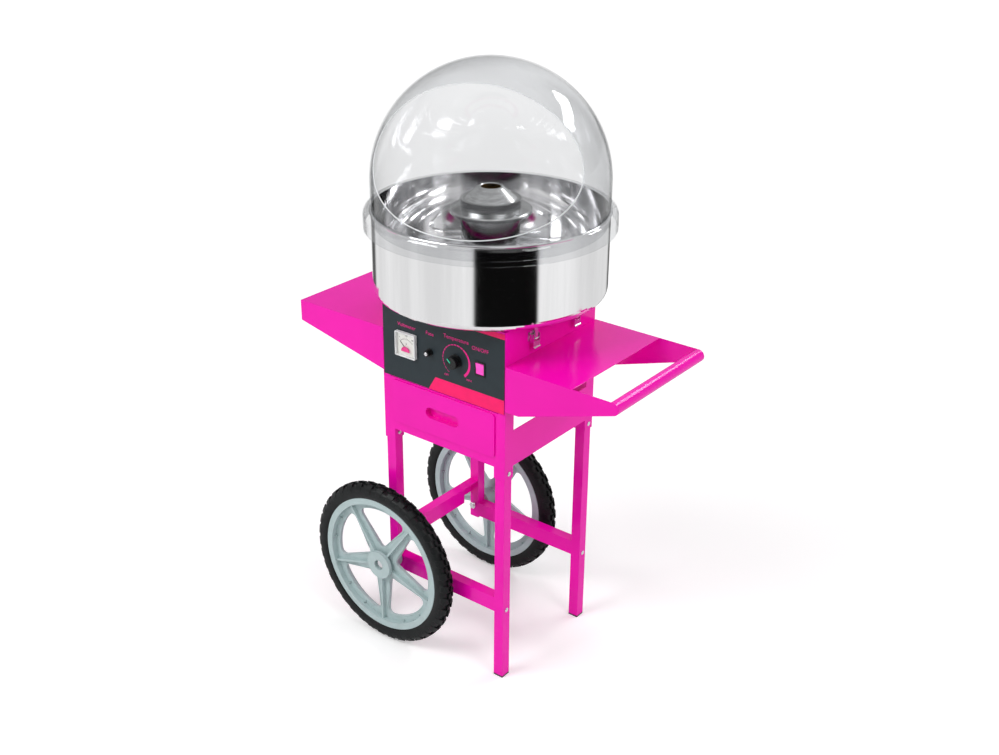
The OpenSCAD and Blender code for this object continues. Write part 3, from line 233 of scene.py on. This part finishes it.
def clear_plastic(name, tint, least, most):
    """Clear sheet: seen through when met head on, and mirror-like where it is met edgewise."""
    shine = (0.9, 0.91, 0.92, 1)
    look = Look(name, shine, Metallic=1.0, Roughness=0.03)
    nodes, links = look.nodes, look.links
    facing = nodes.new("ShaderNodeLayerWeight")
    facing.inputs["Blend"].default_value = 0.5
    edge = nodes.new("ShaderNodeMath")
    edge.operation = "POWER"
    edge.inputs[1].default_value = 4.0
    links.new(facing.outputs["Facing"], edge.inputs[0])
    pane = nodes.new("ShaderNodeBsdfTransparent")
    pane.inputs["Color"].default_value = tint
    look.tint(look.noise(14), lighter(shine, 0.95), lighter(shine, 1.04))
    look.vary("Roughness", look.noise(120), 0.015, 0.045)
    share = nodes.new("ShaderNodeMapRange")
    share.inputs["To Min"].default_value = least
    share.inputs["To Max"].default_value = most
    links.new(edge.outputs["Value"], share.inputs["Value"])
    mixed = nodes.new("ShaderNodeMixShader")
    links.new(share.outputs["Result"], mixed.inputs["Fac"])
    links.new(pane.outputs["BSDF"], mixed.inputs[1])
    links.new(look.shader.outputs["BSDF"], mixed.inputs[2])
    links.new(mixed.outputs["Shader"], nodes["Material Output"].inputs["Surface"])
    return look.material


PINK = powder_coat()
STEEL = bowl_steel()
CHROME = plain_metal("chrome", srgb(225, 225, 228), 0.12)
ALUMINIUM = turned_aluminium()
BLACK = moulded("black_plastic", srgb(14, 15, 16), 0.28, Specular_IOR_Level=0.4)
RUBBER = moulded("seal_rubber", srgb(34, 34, 35), 0.7)
TYRE = tyre_rubber()
WHEEL = moulded(
    "wheel_plastic", srgb(176, 194, 195), 0.45, mm(0.05), 0.04, mm(1.2), Specular_IOR_Level=0.35,
)
PANEL = moulded(
    "panel_sheet", srgb(42, 51, 56), 0.4, mm(0.01), 0.05, mm(0.3), Specular_IOR_Level=0.2,
)
CLEAR = clear_plastic("clear_acrylic", (0.91, 0.913, 0.917, 1), 0.04, 0.6)
LENS = clear_plastic("meter_glass", (0.985, 0.985, 0.985, 1), 0.03, 0.4)
# Near-white plastic for the bead round the cover's opening: a painted highlight for the bright rim
# of the clear edge.
EDGE_HIGHLIGHT = moulded("painted_edge_highlight", srgb(236, 238, 240), 0.1, mm(0.005), 0.02, mm(0.1))
WHITE = moulded("white_plastic", srgb(232, 234, 235), 0.3)
CARD = moulded("scale_card", srgb(240, 240, 234), 0.6, mm(0.01), 0.03)
LIT_PINK = moulded(
    "lit_pink_plastic", srgb(238, 60, 180), 0.2, mm(0.01), 0.12,
    Emission_Color=srgb(255, 90, 205), Emission_Strength=0.25,
)
GREY = moulded("grey_metal", srgb(112, 113, 116), 0.4, Metallic=0.6)
BRASS = plain_metal("heater_brass", srgb(190, 150, 92), 0.35)
RED_PINK = moulded(
    "red_pink_print", srgb(250, 24, 108), 0.4, mm(0.01), 0.04, mm(0.1), Specular_IOR_Level=0.2,
)
LABEL_PINK = moulded(
    "pink_print", srgb(238, 36, 140), 0.4, mm(0.01), 0.05, mm(0.1), Specular_IOR_Level=0.2,
)
INK = moulded("black_print", srgb(30, 30, 32), 0.5, mm(0.01), 0.1, mm(0.05))
TEAL = moulded("teal_mark", srgb(40, 190, 150), 0.4, mm(0.01), 0.08, mm(0.1))

BY_SLOT = {
    "pink_paint": PINK, "steel": STEEL, "chrome": CHROME, "aluminium": ALUMINIUM,
    "black_plastic": BLACK, "rubber": RUBBER, "tyre": TYRE, "wheel_plastic": WHEEL,
    "panel_print": PANEL, "clear": CLEAR, "white_plastic": WHITE, "scale_card": CARD,
    "rocker_pink": LIT_PINK, "grey_metal": GREY, "brass": BRASS,
}


def dress_cad():
    """Gives every carried-over node the material of its slot in the record."""
    for part in frame["record"]["subparts"]:
        node = frame["nodes"][part["node"]]
        for slot in node.material_slots:
            slot.material = BY_SLOT[part["material_slot"]]
    for slot in frame["nodes"]["meter_lens"].material_slots:
        slot.material = LENS


# Building pieces

TUBE_SIDES = 10


def new_piece(name, mesh, material, body, smooth=True):
    """A finished piece that rides on a CAD body."""
    piece = bpy.data.objects.new(name, mesh)
    bpy.context.scene.collection.objects.link(piece)
    mesh.materials.clear()
    mesh.materials.append(material)
    for face in mesh.polygons:
        face.use_smooth = smooth
    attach(piece, body)
    return piece


def mesh_from(bm, name):
    """Turns the working mesh into a finished one with its faces turned outward."""
    bmesh.ops.recalc_face_normals(bm, faces=bm.faces)
    mesh = bpy.data.meshes.new(name)
    bm.to_mesh(mesh)
    bm.free()
    return mesh


def tube(bm, path, radius, closed=True, up=Vector((0, 1, 0))):
    """A round bead along a path of points; up is any direction that the path never takes."""
    rings = []
    count = len(path)
    for index, point in enumerate(path):
        before = path[index - 1] if closed or index else point
        after = path[(index + 1) % count] if closed or index < count - 1 else point
        along = (after - before).normalized()
        side = along.cross(up).normalized()
        other = along.cross(side)
        rings.append([
            bm.verts.new(point + radius * (math.cos(a) * side + math.sin(a) * other))
            for a in (TURN * k / TUBE_SIDES for k in range(TUBE_SIDES))
        ])
    pairs = list(zip(rings, rings[1:])) + ([(rings[-1], rings[0])] if closed else [])
    for ring, following in pairs:
        for k in range(TUBE_SIDES):
            bm.faces.new((ring[k], ring[k - 1], following[k - 1], following[k]))
    if not closed:
        bm.faces.new(rings[0])
        bm.faces.new(reversed(rings[-1]))


def plate(bm, outline, front, back):
    """A flat plate standing in the XZ plane, from an outline of (x, z) points."""
    faces = [
        [bm.verts.new((x, y, z)) for x, z in outline]
        for y in (front, back)
    ]
    bm.faces.new(faces[0])
    bm.faces.new(reversed(faces[1]))
    for k in range(len(outline)):
        bm.faces.new((faces[0][k - 1], faces[0][k], faces[1][k], faces[1][k - 1]))


def words(name, text, place, height, material):
    """Small generic lettering lying on a surface that faces the front."""
    curve = bpy.data.curves.new(name, "FONT")
    curve.body = text
    curve.size = height
    curve.extrude = mm(0.05)
    curve.align_x = "CENTER"
    curve.align_y = "CENTER"
    curve.resolution_u = 3
    lettering = bpy.data.objects.new(name, curve)
    bpy.context.scene.collection.objects.link(lettering)
    bpy.context.view_layer.update()
    mesh = bpy.data.meshes.new_from_object(lettering)
    bpy.data.objects.remove(lettering)
    mesh.transform(Matrix.Translation(place) @ Euler((TURN / 4, 0, 0)).to_matrix().to_4x4())
    new_piece(name, mesh, material, "cart", smooth=False)


# Wheels

WHEEL_X, WHEEL_Y, AXLE_Z = -159, 204.2, 208
TYRE_R, TYRE_HALF = 208, 20
SHOULDER_DROP, SHOULDER_CURVE = 13.5, 3.2
# Half section of the tyre under its tread, from bead to crown, as (radius, distance out)
CARCASS = (
    (162.2, 13.8), (171.6, 13.9), (172.3, 16.4), (175, 18.2), (180, 19.5), (187, 19.9),
    (193, 19.3), (197.5, 17.6), (200.6, 14.5), (202, 9), (202.5, 3),
)
CARCASS_STEPS = 160
# Tread blocks as (distance out, length round the tyre), from the middle outward
OUTER_BLOCK = ((7.5, 17), (11, 19), (14.5, 21), (17.5, 20), (19.9, 16))
INNER_BLOCK = ((0.6, 13), (3.4, 16), (6.2, 13))
OUTER_SKEW, INNER_SKEW = 0.02, -0.03
BLOCK_DEPTH, BLOCK_CHAMFER, BLOCK_SHIFT = 6.5, 0.9, 0.25
RIM_INNER_R, GAP_R, HUB_R = 156.5, 141.5, 45
SPOKES, SPOKE_HUB_HALF, SPOKE_RIM_HALF = 5, 23, 12
# Beads beside the openings: radius, set back from the edge and distance out from mid plane, then
# where the straight ones start and end, and the radius and step of turn of the curved one
BEAD_R, BEAD_BACK, BEAD_OUT = 1.5, 1.7, 3.3
BEAD_START_R, BEAD_END_R = HUB_R + 8, GAP_R - 9
BEAD_RING_R, BEAD_RING_STEP = GAP_R + 1.8, 0.038
# Gussets inside the rim: their turn from the middle of an opening, half thickness and section
GUSSET_TURN, GUSSET_HALF = 0.2, 0.011
GUSSET = ((RIM_INNER_R + 0.5, 3.5), (RIM_INNER_R + 0.5, 9.5), (RIM_INNER_R - 6.5, 3.5))
LUGS = 38
FACING = {"front": -1, "back": 1}


def on_wheel(side, radius, turn, out):
    """A place on a wheel: radius and turn round the axle, and distance out from mid plane."""
    y = FACING[side] * (WHEEL_Y + out)
    return at(WHEEL_X + radius * math.cos(turn), y, AXLE_Z + radius * math.sin(turn))


def crown(out):
    """Height of the tread's top at a distance from the mid plane."""
    share = abs(out) / TYRE_HALF
    return TYRE_R - SHOULDER_DROP * share ** SHOULDER_CURVE


def carcass(bm, side):
    """The tyre under its tread: beads, rounded sidewalls and crown."""
    profile = list(CARCASS) + [(r, -w) for r, w in reversed(CARCASS)]
    rings = [
        [bm.verts.new(on_wheel(side, r, TURN * k / CARCASS_STEPS, w)) for r, w in profile]
        for k in range(CARCASS_STEPS)
    ]
    for k in range(CARCASS_STEPS):
        for j in range(len(profile)):
            bm.faces.new((rings[k - 1][j - 1], rings[k - 1][j], rings[k][j], rings[k][j - 1]))


def lug(bm, side, turn, edge, block, skew):
    """One tread block on one side of the crown, leaning round the tyre as it goes outward."""
    low, high = [], []
    for reach, length in block:
        out = edge * reach
        top = crown(out)
        slant = skew * (abs(out) / TYRE_HALF)
        for sign in (-1, 1):
            a = turn + slant + sign * length / (2 * TYRE_R)
            inset = a - sign * BLOCK_CHAMFER / TYRE_R
            low.append(bm.verts.new(on_wheel(side, top - BLOCK_DEPTH, a, out)))
            high.append(bm.verts.new(on_wheel(side, top, inset, out)))
    for k in range(len(block) - 1):
        i = 2 * k
        bm.faces.new((high[i], high[i + 1], high[i + 3], high[i + 2]))
        bm.faces.new((low[i], high[i], high[i + 2], low[i + 2]))
        bm.faces.new((low[i + 1], low[i + 3], high[i + 3], high[i + 1]))
    bm.faces.new((low[0], low[1], high[1], high[0]))
    bm.faces.new((low[-2], high[-2], high[-1], low[-1]))


def tyre(side):
    """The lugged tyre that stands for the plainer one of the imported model."""
    bm = bmesh.new()
    carcass(bm, side)
    for k in range(LUGS):
        for edge in (-1, 1):
            turn = TURN * (k + edge * BLOCK_SHIFT) / LUGS
            lug(bm, side, turn, edge, OUTER_BLOCK, OUTER_SKEW)
            lug(bm, side, turn + TURN / (2 * LUGS), edge, INNER_BLOCK, INNER_SKEW)
    mesh = mesh_from(bm, f"{side}_tyre_tread")
    piece = new_piece(f"{side}_tyre_tread", mesh, TYRE, f"{side}_wheel", smooth=False)
    smooth_sidewalls(mesh)
    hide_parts(f"{side}_wheel_tyre")


def smooth_sidewalls(mesh):
    """The carcass is shaded smooth and the blocks stay crisp."""
    carcass_points = 2 * len(CARCASS) * CARCASS_STEPS
    for face in mesh.polygons:
        face.use_smooth = min(face.vertices) < carcass_points


def spoke_edge(radius, half_width):
    """Where a spoke's edge crosses a radius, seen from the middle of the gap beside it."""
    turn = TURN / (2 * SPOKES) - math.asin(half_width / radius)
    return Vector((radius * math.cos(turn), radius * math.sin(turn)))


def gap_edges(side, middle):
    """The two long straight edges of an opening, set back onto the spokes beside it."""
    start = spoke_edge(BEAD_START_R, SPOKE_HUB_HALF - 1)
    end = spoke_edge(BEAD_END_R, SPOKE_RIM_HALF)
    away = Vector((start.y - end.y, end.x - start.x)).normalized() * BEAD_BACK
    for mirror in (-1, 1):
        yield [
            on_wheel(side, p.length, middle + mirror * math.atan2(p.y, p.x), BEAD_OUT)
            for p in (start + away, end + away)
        ]


def wheel_trim(side):
    """Raised beads beside the spoke openings and small gussets inside the rim."""
    bm = bmesh.new()
    for k in range(SPOKES):
        middle = -TURN / 4 + TURN * (k + 0.5) / SPOKES
        for path in gap_edges(side, middle):
            tube(bm, path, mm(BEAD_R), closed=False)
        ring = [
            on_wheel(side, BEAD_RING_R, middle + BEAD_RING_STEP * j, BEAD_OUT)
            for j in range(-10, 11)
        ]
        tube(bm, ring, mm(BEAD_R), closed=False)
        for j in (-1, 1):
            for out in (-1, 1):
                gusset(bm, side, middle + GUSSET_TURN * j, out)
    mesh = mesh_from(bm, f"{side}_wheel_trim")
    new_piece(f"{side}_wheel_trim", mesh, WHEEL, f"{side}_wheel")


def gusset(bm, side, turn, out):
    """A little triangular rib between the rim wall and the web."""
    faces = [
        [bm.verts.new(on_wheel(side, r, turn + s * GUSSET_HALF, out * w)) for r, w in GUSSET]
        for s in (-1, 1)
    ]
    bm.faces.new(faces[0])
    bm.faces.new(reversed(faces[1]))
    for k in range(3):
        bm.faces.new((faces[0][k - 1], faces[0][k], faces[1][k], faces[1][k - 1]))


# Control panel

PANEL_Y = -169.2
PRINT_T = 0.25
CONTROL_Z = 781.5
METER_X, KNOB_X, ROCKER_X, FUSE_X = -101, 40, 106, -34
# Printed bands as outlines of (x, z), and where the upper one lies and how thick it is
TOP_BAND = ((-170.8, 865.7), (170.8, 865.7), (170.8, 877.5), (-170.8, 877.5))
TITLE_BAND = ((-39, 692.9), (170.8, 692.9), (170.8, 725.9), (-19, 725.9))
TOP_BAND_Y, TOP_BAND_T = -168.2, 1.0
# The dial: radius, and clock angles where its dashes start and its solid part starts and ends
DIAL_R, DIAL_DASHES = 37, 13
DIAL_START, DIAL_SOLID, DIAL_END = -148, 32, 142
# The voltmeter: radius of its scale, half width and lengths of its ticks, and their turn
SCALE_R, TICK_HALF, TICK_LONG, TICK_SHORT = 24.5, 0.22, 4.4, 2.6
TICKS, TICK_START, TICK_STEP = 11, -45, 9
# The knob: turn at rest, how far its face stands out, and its mark as an outline of (x, z)
KNOB_TURN, KNOB_OUT = -48, 19.05
KNOB_MARK = ((-1.6, 2.2), (1.6, 2.2), (1.6, 13.4), (-1.6, 13.4))
# The fuse cap's end: its place, and its section as (radius, height)
FUSE_TIP_Y = -183.7
FUSE_END = ((0.05, 1.3), (2.2, 1.2), (3.9, 0.7), (4.6, 0), (4.6, -0.6))
ROUND_STEPS = 24


def panel_print(name, outlines, material, face_y=PANEL_Y, thick=PRINT_T):
    """Printed areas, each an outline of (x, z) in millimetres, lying on a front face."""
    bm = bmesh.new()
    for outline in outlines:
        plate(bm, [(mm(x + FRAME_X), mm(z)) for x, z in outline], mm(face_y - thick), mm(face_y))
    new_piece(name, mesh_from(bm, name), material, "cart", smooth=False)


def arc_band(x, z, radius, start, end, width_start, width_end, steps=8):
    """Outline of a piece of ring; angles are clock angles from the top, in degrees."""
    def ring(sign):
        points = []
        for k in range(steps + 1):
            share = k / steps
            angle = math.radians(start + (end - start) * share)
            r = radius + sign * (width_start + (width_end - width_start) * share) / 2
            points.append((x + r * math.sin(angle), z + r * math.cos(angle)))
        return points
    return ring(1) + list(reversed(ring(-1)))


def dress_panel():
    """Printed bands, the dial round the knob and the plain words above the controls."""
    panel_print("panel_top_band", [TOP_BAND], RED_PINK, TOP_BAND_Y, TOP_BAND_T)
    panel_print("panel_title_band", [TITLE_BAND], RED_PINK)
    pitch = (DIAL_SOLID - DIAL_START) / DIAL_DASHES
    bands = []
    for k in range(DIAL_DASHES):
        a = DIAL_START + k * pitch
        width = 0.7 + 2.3 * k / DIAL_DASHES
        bands.append(arc_band(KNOB_X, CONTROL_Z, DIAL_R, a, a + 0.78 * pitch, width, width + 0.15))
    bands.append(arc_band(KNOB_X, CONTROL_Z, DIAL_R, DIAL_SOLID, DIAL_END, 3.2, 6.4, 24))
    panel_print("dial_arc", bands, LABEL_PINK)
    for name, text, x, z, height in (
        ("label_voltmeter", "Voltmeter", METER_X, 44, 12.5),
        ("label_fuse", "Fuse", FUSE_X, 44, 12.5),
        ("label_temperature", "Temperature", KNOB_X, 51, 13),
        ("label_switch", "ON/OFF", ROCKER_X, 44, 12.5),
        ("dial_off", "OFF", KNOB_X - 27, -40, 7),
        ("dial_max", "MAX", KNOB_X + 36, -36, 7),
    ):
        words(name, text, at(x, PANEL_Y - 0.1, CONTROL_Z + z), mm(height), LABEL_PINK)


def dress_meter():
    """Voltmeter scale with its ticks and numbers, and the boss that hides the pivot."""
    card_y = PANEL_Y - 2
    pivot_z = CONTROL_Z - 12
    ticks = [arc_band(METER_X, pivot_z, SCALE_R, -46, 46, 0.5, 0.5, 20)]
    for k in range(TICKS):
        length = TICK_LONG if k % 5 == 0 else TICK_SHORT
        angle = math.radians(TICK_START + TICK_STEP * k)
        inner, outer = SCALE_R, SCALE_R + length
        ticks.append([
            (METER_X + r * math.sin(angle) + s * TICK_HALF * math.cos(angle),
             pivot_z + r * math.cos(angle) - s * TICK_HALF * math.sin(angle))
            for r, s in ((inner, -1), (inner, 1), (outer, 1), (outer, -1))
        ])
    panel_print("meter_ticks", ticks, INK, card_y, 0.08)
    for name, text, x, z in (
        ("meter_low", "0", -19, 26),
        ("meter_middle", "150", 0, 33),
        ("meter_high", "300", 18.5, 26),
    ):
        words(name, text, at(METER_X + x, card_y, pivot_z + z), mm(5.2), INK)
    words("meter_unit", "V", at(METER_X, card_y, pivot_z + 13.5), mm(7), INK)
    boss = arc_band(METER_X, pivot_z - 4, 6, -90, 90, 12, 12, 20)
    panel_print("meter_boss", [boss], LABEL_PINK, card_y - 3.2, 1.0)


def dress_controls():
    """The knob's coloured mark, turned to its place at rest, and the fuse cap's bright end."""
    bm = bmesh.new()
    y = PANEL_Y - KNOB_OUT
    lean = math.radians(KNOB_TURN)
    outline = [
        (KNOB_X + x * math.cos(lean) + z * math.sin(lean), z * math.cos(lean) - x * math.sin(lean))
        for x, z in KNOB_MARK
    ]
    plate(bm, [(mm(x + FRAME_X), mm(CONTROL_Z + z)) for x, z in outline], mm(y - 0.2), mm(y))
    new_piece("knob_mark", mesh_from(bm, "knob_mark"), TEAL, "knob", smooth=False)
    bm = bmesh.new()
    rings = [
        [bm.verts.new(at(FUSE_X + r * math.cos(TURN * k / ROUND_STEPS), FUSE_TIP_Y - out,
                         CONTROL_Z + r * math.sin(TURN * k / ROUND_STEPS)))
         for k in range(ROUND_STEPS)]
        for r, out in FUSE_END
    ]
    bm.faces.new(rings[0])
    for inner, outer in zip(rings, rings[1:]):
        for k in range(ROUND_STEPS):
            bm.faces.new((inner[k - 1], inner[k], outer[k], outer[k - 1]))
    new_piece("fuse_cap_end", mesh_from(bm, "fuse_cap_end"), CHROME, "fuse_cap")


# Cover

COVER_R, COVER_T, DOME_Z = 260, 3, 1137.8
# The oval cutter: half width and half height, turn and tilt in degrees, and its drop
OVAL_HALF_W, OVAL_HALF_H, OVAL_TURN, OVAL_TILT, OVAL_DROP = 222, 158, 24, 27, 5
EDGE_BEAD_R = 1.2
EDGE_STEPS = 180


def oval_edge():
    """Places where the oval cutter leaves the middle of the cover's wall."""
    radius = COVER_R - COVER_T / 2
    turn = Matrix.Rotation(math.radians(OVAL_TURN), 4, "Z")
    tilt = Matrix.Rotation(math.radians(90 - OVAL_TILT), 4, "X")
    axis = (turn @ tilt) @ Vector((0, 0, 1))
    path = []
    for k in range(EDGE_STEPS):
        a = TURN * k / EDGE_STEPS
        start = (turn @ tilt) @ Vector((OVAL_HALF_W * math.cos(a), OVAL_HALF_H * math.sin(a), 0))
        start.z -= OVAL_DROP
        path.append(leave_cover(start, axis, radius))
    return path


def leave_cover(start, axis, radius):
    """The point, measured from the dome's centre, where a line passes out of dome or wall."""
    b, c = start.dot(axis), start.dot(start) - radius ** 2
    point = start + axis * (-b + math.sqrt(max(b * b - c, 0.0)))
    if point.z < 0:
        flat, level = Vector((start.x, start.y)), Vector((axis.x, axis.y))
        a, b, c = level.dot(level), flat.dot(level), flat.dot(flat) - radius ** 2
        point = start + axis * (-b + math.sqrt(max(b * b - a * c, 0.0))) / a
    return point


def cover_edge():
    """Near-white bead round the opening: a painted highlight for the clear, flame-polished edge.
    """
    bm = bmesh.new()
    path = [at(p.x, p.y, p.z + DOME_Z) for p in oval_edge()]
    tube(bm, path, mm(EDGE_BEAD_R), up=Vector((0.13, -0.9, 0.42)))
    new_piece("opening_edge", mesh_from(bm, "opening_edge"), EDGE_HIGHLIGHT, "cover")


# Floor, light and camera


def ring_of_light(nodes, links, direction, stops):
    """Brightness round the studio by compass direction, from (share of a turn, level) stops."""
    around = nodes.new("ShaderNodeTexGradient")
    around.gradient_type = "RADIAL"
    ramp = nodes.new("ShaderNodeValToRGB")
    ramp.color_ramp.interpolation = "EASE"
    points = ramp.color_ramp.elements
    points[0].position, points[1].position = stops[0][0], stops[-1][0]
    for share, _ in stops[1:-1]:
        points.new(share)
    for point, (_, level) in zip(points, stops):
        point.color = (level, level, level, 1)
    links.new(direction, around.inputs["Vector"])
    links.new(around.outputs["Fac"], ramp.inputs["Fac"])
    return ramp.outputs["Color"]


def distance(nodes, links, coords, near, far):
    """0 nearer than near, 1 beyond far, in metres from the middle."""
    length = nodes.new("ShaderNodeVectorMath")
    length.operation = "LENGTH"
    links.new(coords, length.inputs[0])
    share = nodes.new("ShaderNodeMapRange")
    share.inputs["From Min"].default_value = near
    share.inputs["From Max"].default_value = far
    links.new(length.outputs["Value"], share.inputs["Value"])
    return share.outputs["Result"]


def times(nodes, links, first, second):
    """The product of two node outputs."""
    product = nodes.new("ShaderNodeMath")
    product.operation = "MULTIPLY"
    links.new(first, product.inputs[0])
    links.new(second, product.inputs[1])
    return product.outputs["Value"]


# Levels that shiny surfaces see round the studio, as (share of a turn, level): a dark flag and
# two dark strips on the floor, and soft bright and dark zones in the world
FLOOR_STOPS = (
    (0.0, 0.85), (0.03, 0.9), (0.255, 0.86), (0.262, 0.95), (0.31, 0.95), (0.318, 0.004),
    (0.472, 0.004), (0.482, 0.95), (0.56, 0.95), (0.65, 0.8), (0.76, 0.82), (0.79, 0.1),
    (0.82, 0.1), (0.85, 0.75), (0.91, 0.75), (0.93, 0.1), (0.955, 0.1), (0.975, 0.85), (1.0, 0.85),
)
WORLD_STOPS = (
    (0.0, 0.7), (0.05, 0.3), (0.1, 0.25), (0.14, 0.9), (0.22, 1.0), (0.26, 0.3), (0.3, 0.06),
    (0.34, 0.1), (0.37, 0.95), (0.42, 1.0), (0.45, 0.12), (0.5, 0.05), (0.54, 0.85), (0.62, 1.0),
    (0.67, 0.3), (0.74, 0.45), (0.8, 0.95), (0.88, 0.4), (0.94, 0.75), (1.0, 0.7),
)


# Metres from the middle: the floor's edge, where it starts to glow and where it glows fully, and
# the same for the dark flag that shiny surfaces see; then the glow by the cart and what is added
FLOOR_RADIUS = 40
GLOW_FROM, GLOW_TO = 0.8, 7.0
FLAG_FROM, FLAG_TO = 0.95, 1.35
GLOW_NEAR, GLOW_ADDED = 0.25, 0.4


def lit_floor():
    """Pale floor: white to the camera, with the shadow kept, and shiny metal sees a dark flag."""
    bm = bmesh.new()
    bmesh.ops.create_circle(bm, cap_ends=True, segments=96, radius=FLOOR_RADIUS)
    mesh = bpy.data.meshes.new("studio_floor")
    bm.to_mesh(mesh)
    bm.free()
    floor = bpy.data.objects.new("studio_floor", mesh)
    bpy.context.scene.collection.objects.link(floor)
    look = Look("studio_floor", (0.9, 0.9, 0.9, 1), Roughness=0.9, Specular_IOR_Level=0.0)
    look.tint(look.noise(0.8), (0.88, 0.88, 0.88, 1), (0.9, 0.9, 0.9, 1))
    nodes, links = look.nodes, look.links
    rays = nodes.new("ShaderNodeLightPath")
    glow = nodes.new("ShaderNodeEmission")
    total = nodes.new("ShaderNodeAddShader")
    lift = nodes.new("ShaderNodeMath")
    lift.operation = "MULTIPLY_ADD"
    links.new(distance(nodes, links, look.coords, GLOW_FROM, GLOW_TO), lift.inputs[0])
    lift.inputs[1].default_value = GLOW_ADDED
    lift.inputs[2].default_value = GLOW_NEAR
    links.new(times(nodes, links, rays.outputs["Is Camera Ray"], lift.outputs["Value"]),
              glow.inputs["Strength"])
    links.new(look.shader.outputs["BSDF"], total.inputs[0])
    links.new(glow.outputs["Emission"], total.inputs[1])
    flag = nodes.new("ShaderNodeEmission")
    links.new(ring_of_light(nodes, links, look.coords, FLOOR_STOPS), flag.inputs["Color"])
    mixed = nodes.new("ShaderNodeMixShader")
    zone = distance(nodes, links, look.coords, FLAG_FROM, FLAG_TO)
    links.new(times(nodes, links, rays.outputs["Is Glossy Ray"], zone), mixed.inputs["Fac"])
    links.new(total.outputs["Shader"], mixed.inputs[1])
    links.new(flag.outputs["Emission"], mixed.inputs[2])
    links.new(mixed.outputs["Shader"], nodes["Material Output"].inputs["Surface"])
    mesh.materials.append(look.material)


def softbox(name, place, aim, size, power):
    """A rectangular area lamp turned to a point; places in metres, power in watts."""
    light = bpy.data.lights.new(name, "AREA")
    light.shape = "RECTANGLE"
    light.size, light.size_y = size
    light.energy = power
    lamp = bpy.data.objects.new(name, light)
    lamp.location = place
    lamp.rotation_euler = (Vector(aim) - Vector(place)).to_track_quat("-Z", "Y").to_euler()
    bpy.context.scene.collection.objects.link(lamp)


def studio_light():
    """An even pale world, white to the camera and banded like a studio to shiny metal."""
    world = bpy.data.worlds.new("studio")
    bpy.context.scene.world = world
    world.use_nodes = True
    nodes, links = world.node_tree.nodes, world.node_tree.links
    plain, banded = nodes["Background"], nodes.new("ShaderNodeBackground")
    plain.inputs["Color"].default_value = (1, 1, 1, 1)
    rays = nodes.new("ShaderNodeLightPath")
    level = nodes.new("ShaderNodeMapRange")
    level.inputs["To Min"].default_value = 0.5
    level.inputs["To Max"].default_value = 1.0
    links.new(rays.outputs["Is Camera Ray"], level.inputs["Value"])
    links.new(level.outputs["Result"], plain.inputs["Strength"])
    coords = nodes.new("ShaderNodeTexCoord").outputs["Generated"]
    ring = ring_of_light(nodes, links, coords, WORLD_STOPS)
    height = nodes.new("ShaderNodeSeparateXYZ")
    links.new(coords, height.inputs["Vector"])
    overhead = nodes.new("ShaderNodeMapRange")
    overhead.inputs["From Min"].default_value = 0.55
    overhead.inputs["From Max"].default_value = 0.85
    links.new(height.outputs["Z"], overhead.inputs["Value"])
    sky = nodes.new("ShaderNodeMixRGB")
    sky.inputs["Color2"].default_value = (0.95, 0.95, 0.95, 1)
    links.new(overhead.outputs["Result"], sky.inputs["Fac"])
    links.new(ring, sky.inputs["Color1"])
    links.new(sky.outputs["Color"], banded.inputs["Color"])
    both = nodes.new("ShaderNodeMixShader")
    links.new(rays.outputs["Is Glossy Ray"], both.inputs["Fac"])
    links.new(plain.outputs["Background"], both.inputs[1])
    links.new(banded.outputs["Background"], both.inputs[2])
    links.new(both.outputs["Shader"], nodes["World Output"].inputs["Surface"])
    softbox("key_light", (-1.6, -3.0, 3.4), (0, 0, 1.0), (2.2, 1.6), 98)
    softbox("side_light", (3.2, -0.6, 2.6), (0, 0, 1.0), (1.4, 1.8), 34)
    softbox("back_light", (0.9, 2.3, 2.75), (0.3, 0, 0.8), (1.6, 0.5), 26)


# Place in millimetres, turns in degrees and lens, fitted to the photograph
CAMERA_PLACE = (1677.3, -2142.7, 1949.7)
CAMERA_YAW, CAMERA_PITCH, CAMERA_ROLL = 37.59, 25.21, 0.515
FOCAL_PIXELS, IMAGE_WIDTH, SENSOR_WIDTH = 1310.0, 999, 36


def camera():
    """The photograph's camera, as it was fitted to the edges of the object."""
    data = bpy.data.cameras.new("camera")
    data.sensor_fit = "HORIZONTAL"
    data.sensor_width = SENSOR_WIDTH
    data.lens = SENSOR_WIDTH * FOCAL_PIXELS / IMAGE_WIDTH
    data.clip_end = 200
    eye = bpy.data.objects.new("camera", data)
    yaw, pitch, roll = (math.radians(v) for v in (CAMERA_YAW, CAMERA_PITCH, CAMERA_ROLL))
    forward = Vector((-math.sin(yaw) * math.cos(pitch), math.cos(yaw) * math.cos(pitch),
                      -math.sin(pitch)))
    right = Vector((math.cos(yaw), math.sin(yaw), 0))
    up = right.cross(forward)
    right, up = (math.cos(roll) * right + math.sin(roll) * up,
                 math.cos(roll) * up - math.sin(roll) * right)
    eye.matrix_world = Matrix((right, up, -forward)).transposed().to_4x4()
    eye.location = at(*CAMERA_PLACE)
    bpy.context.scene.collection.objects.link(eye)
    bpy.context.scene.camera = eye


camera()
lit_floor()
studio_light()
dress_cad()
for wheel_side in FACING:
    tyre(wheel_side)
    wheel_trim(wheel_side)
dress_panel()
dress_meter()
dress_controls()
cover_edge()
bpy.context.scene.view_settings.view_transform = "Standard"
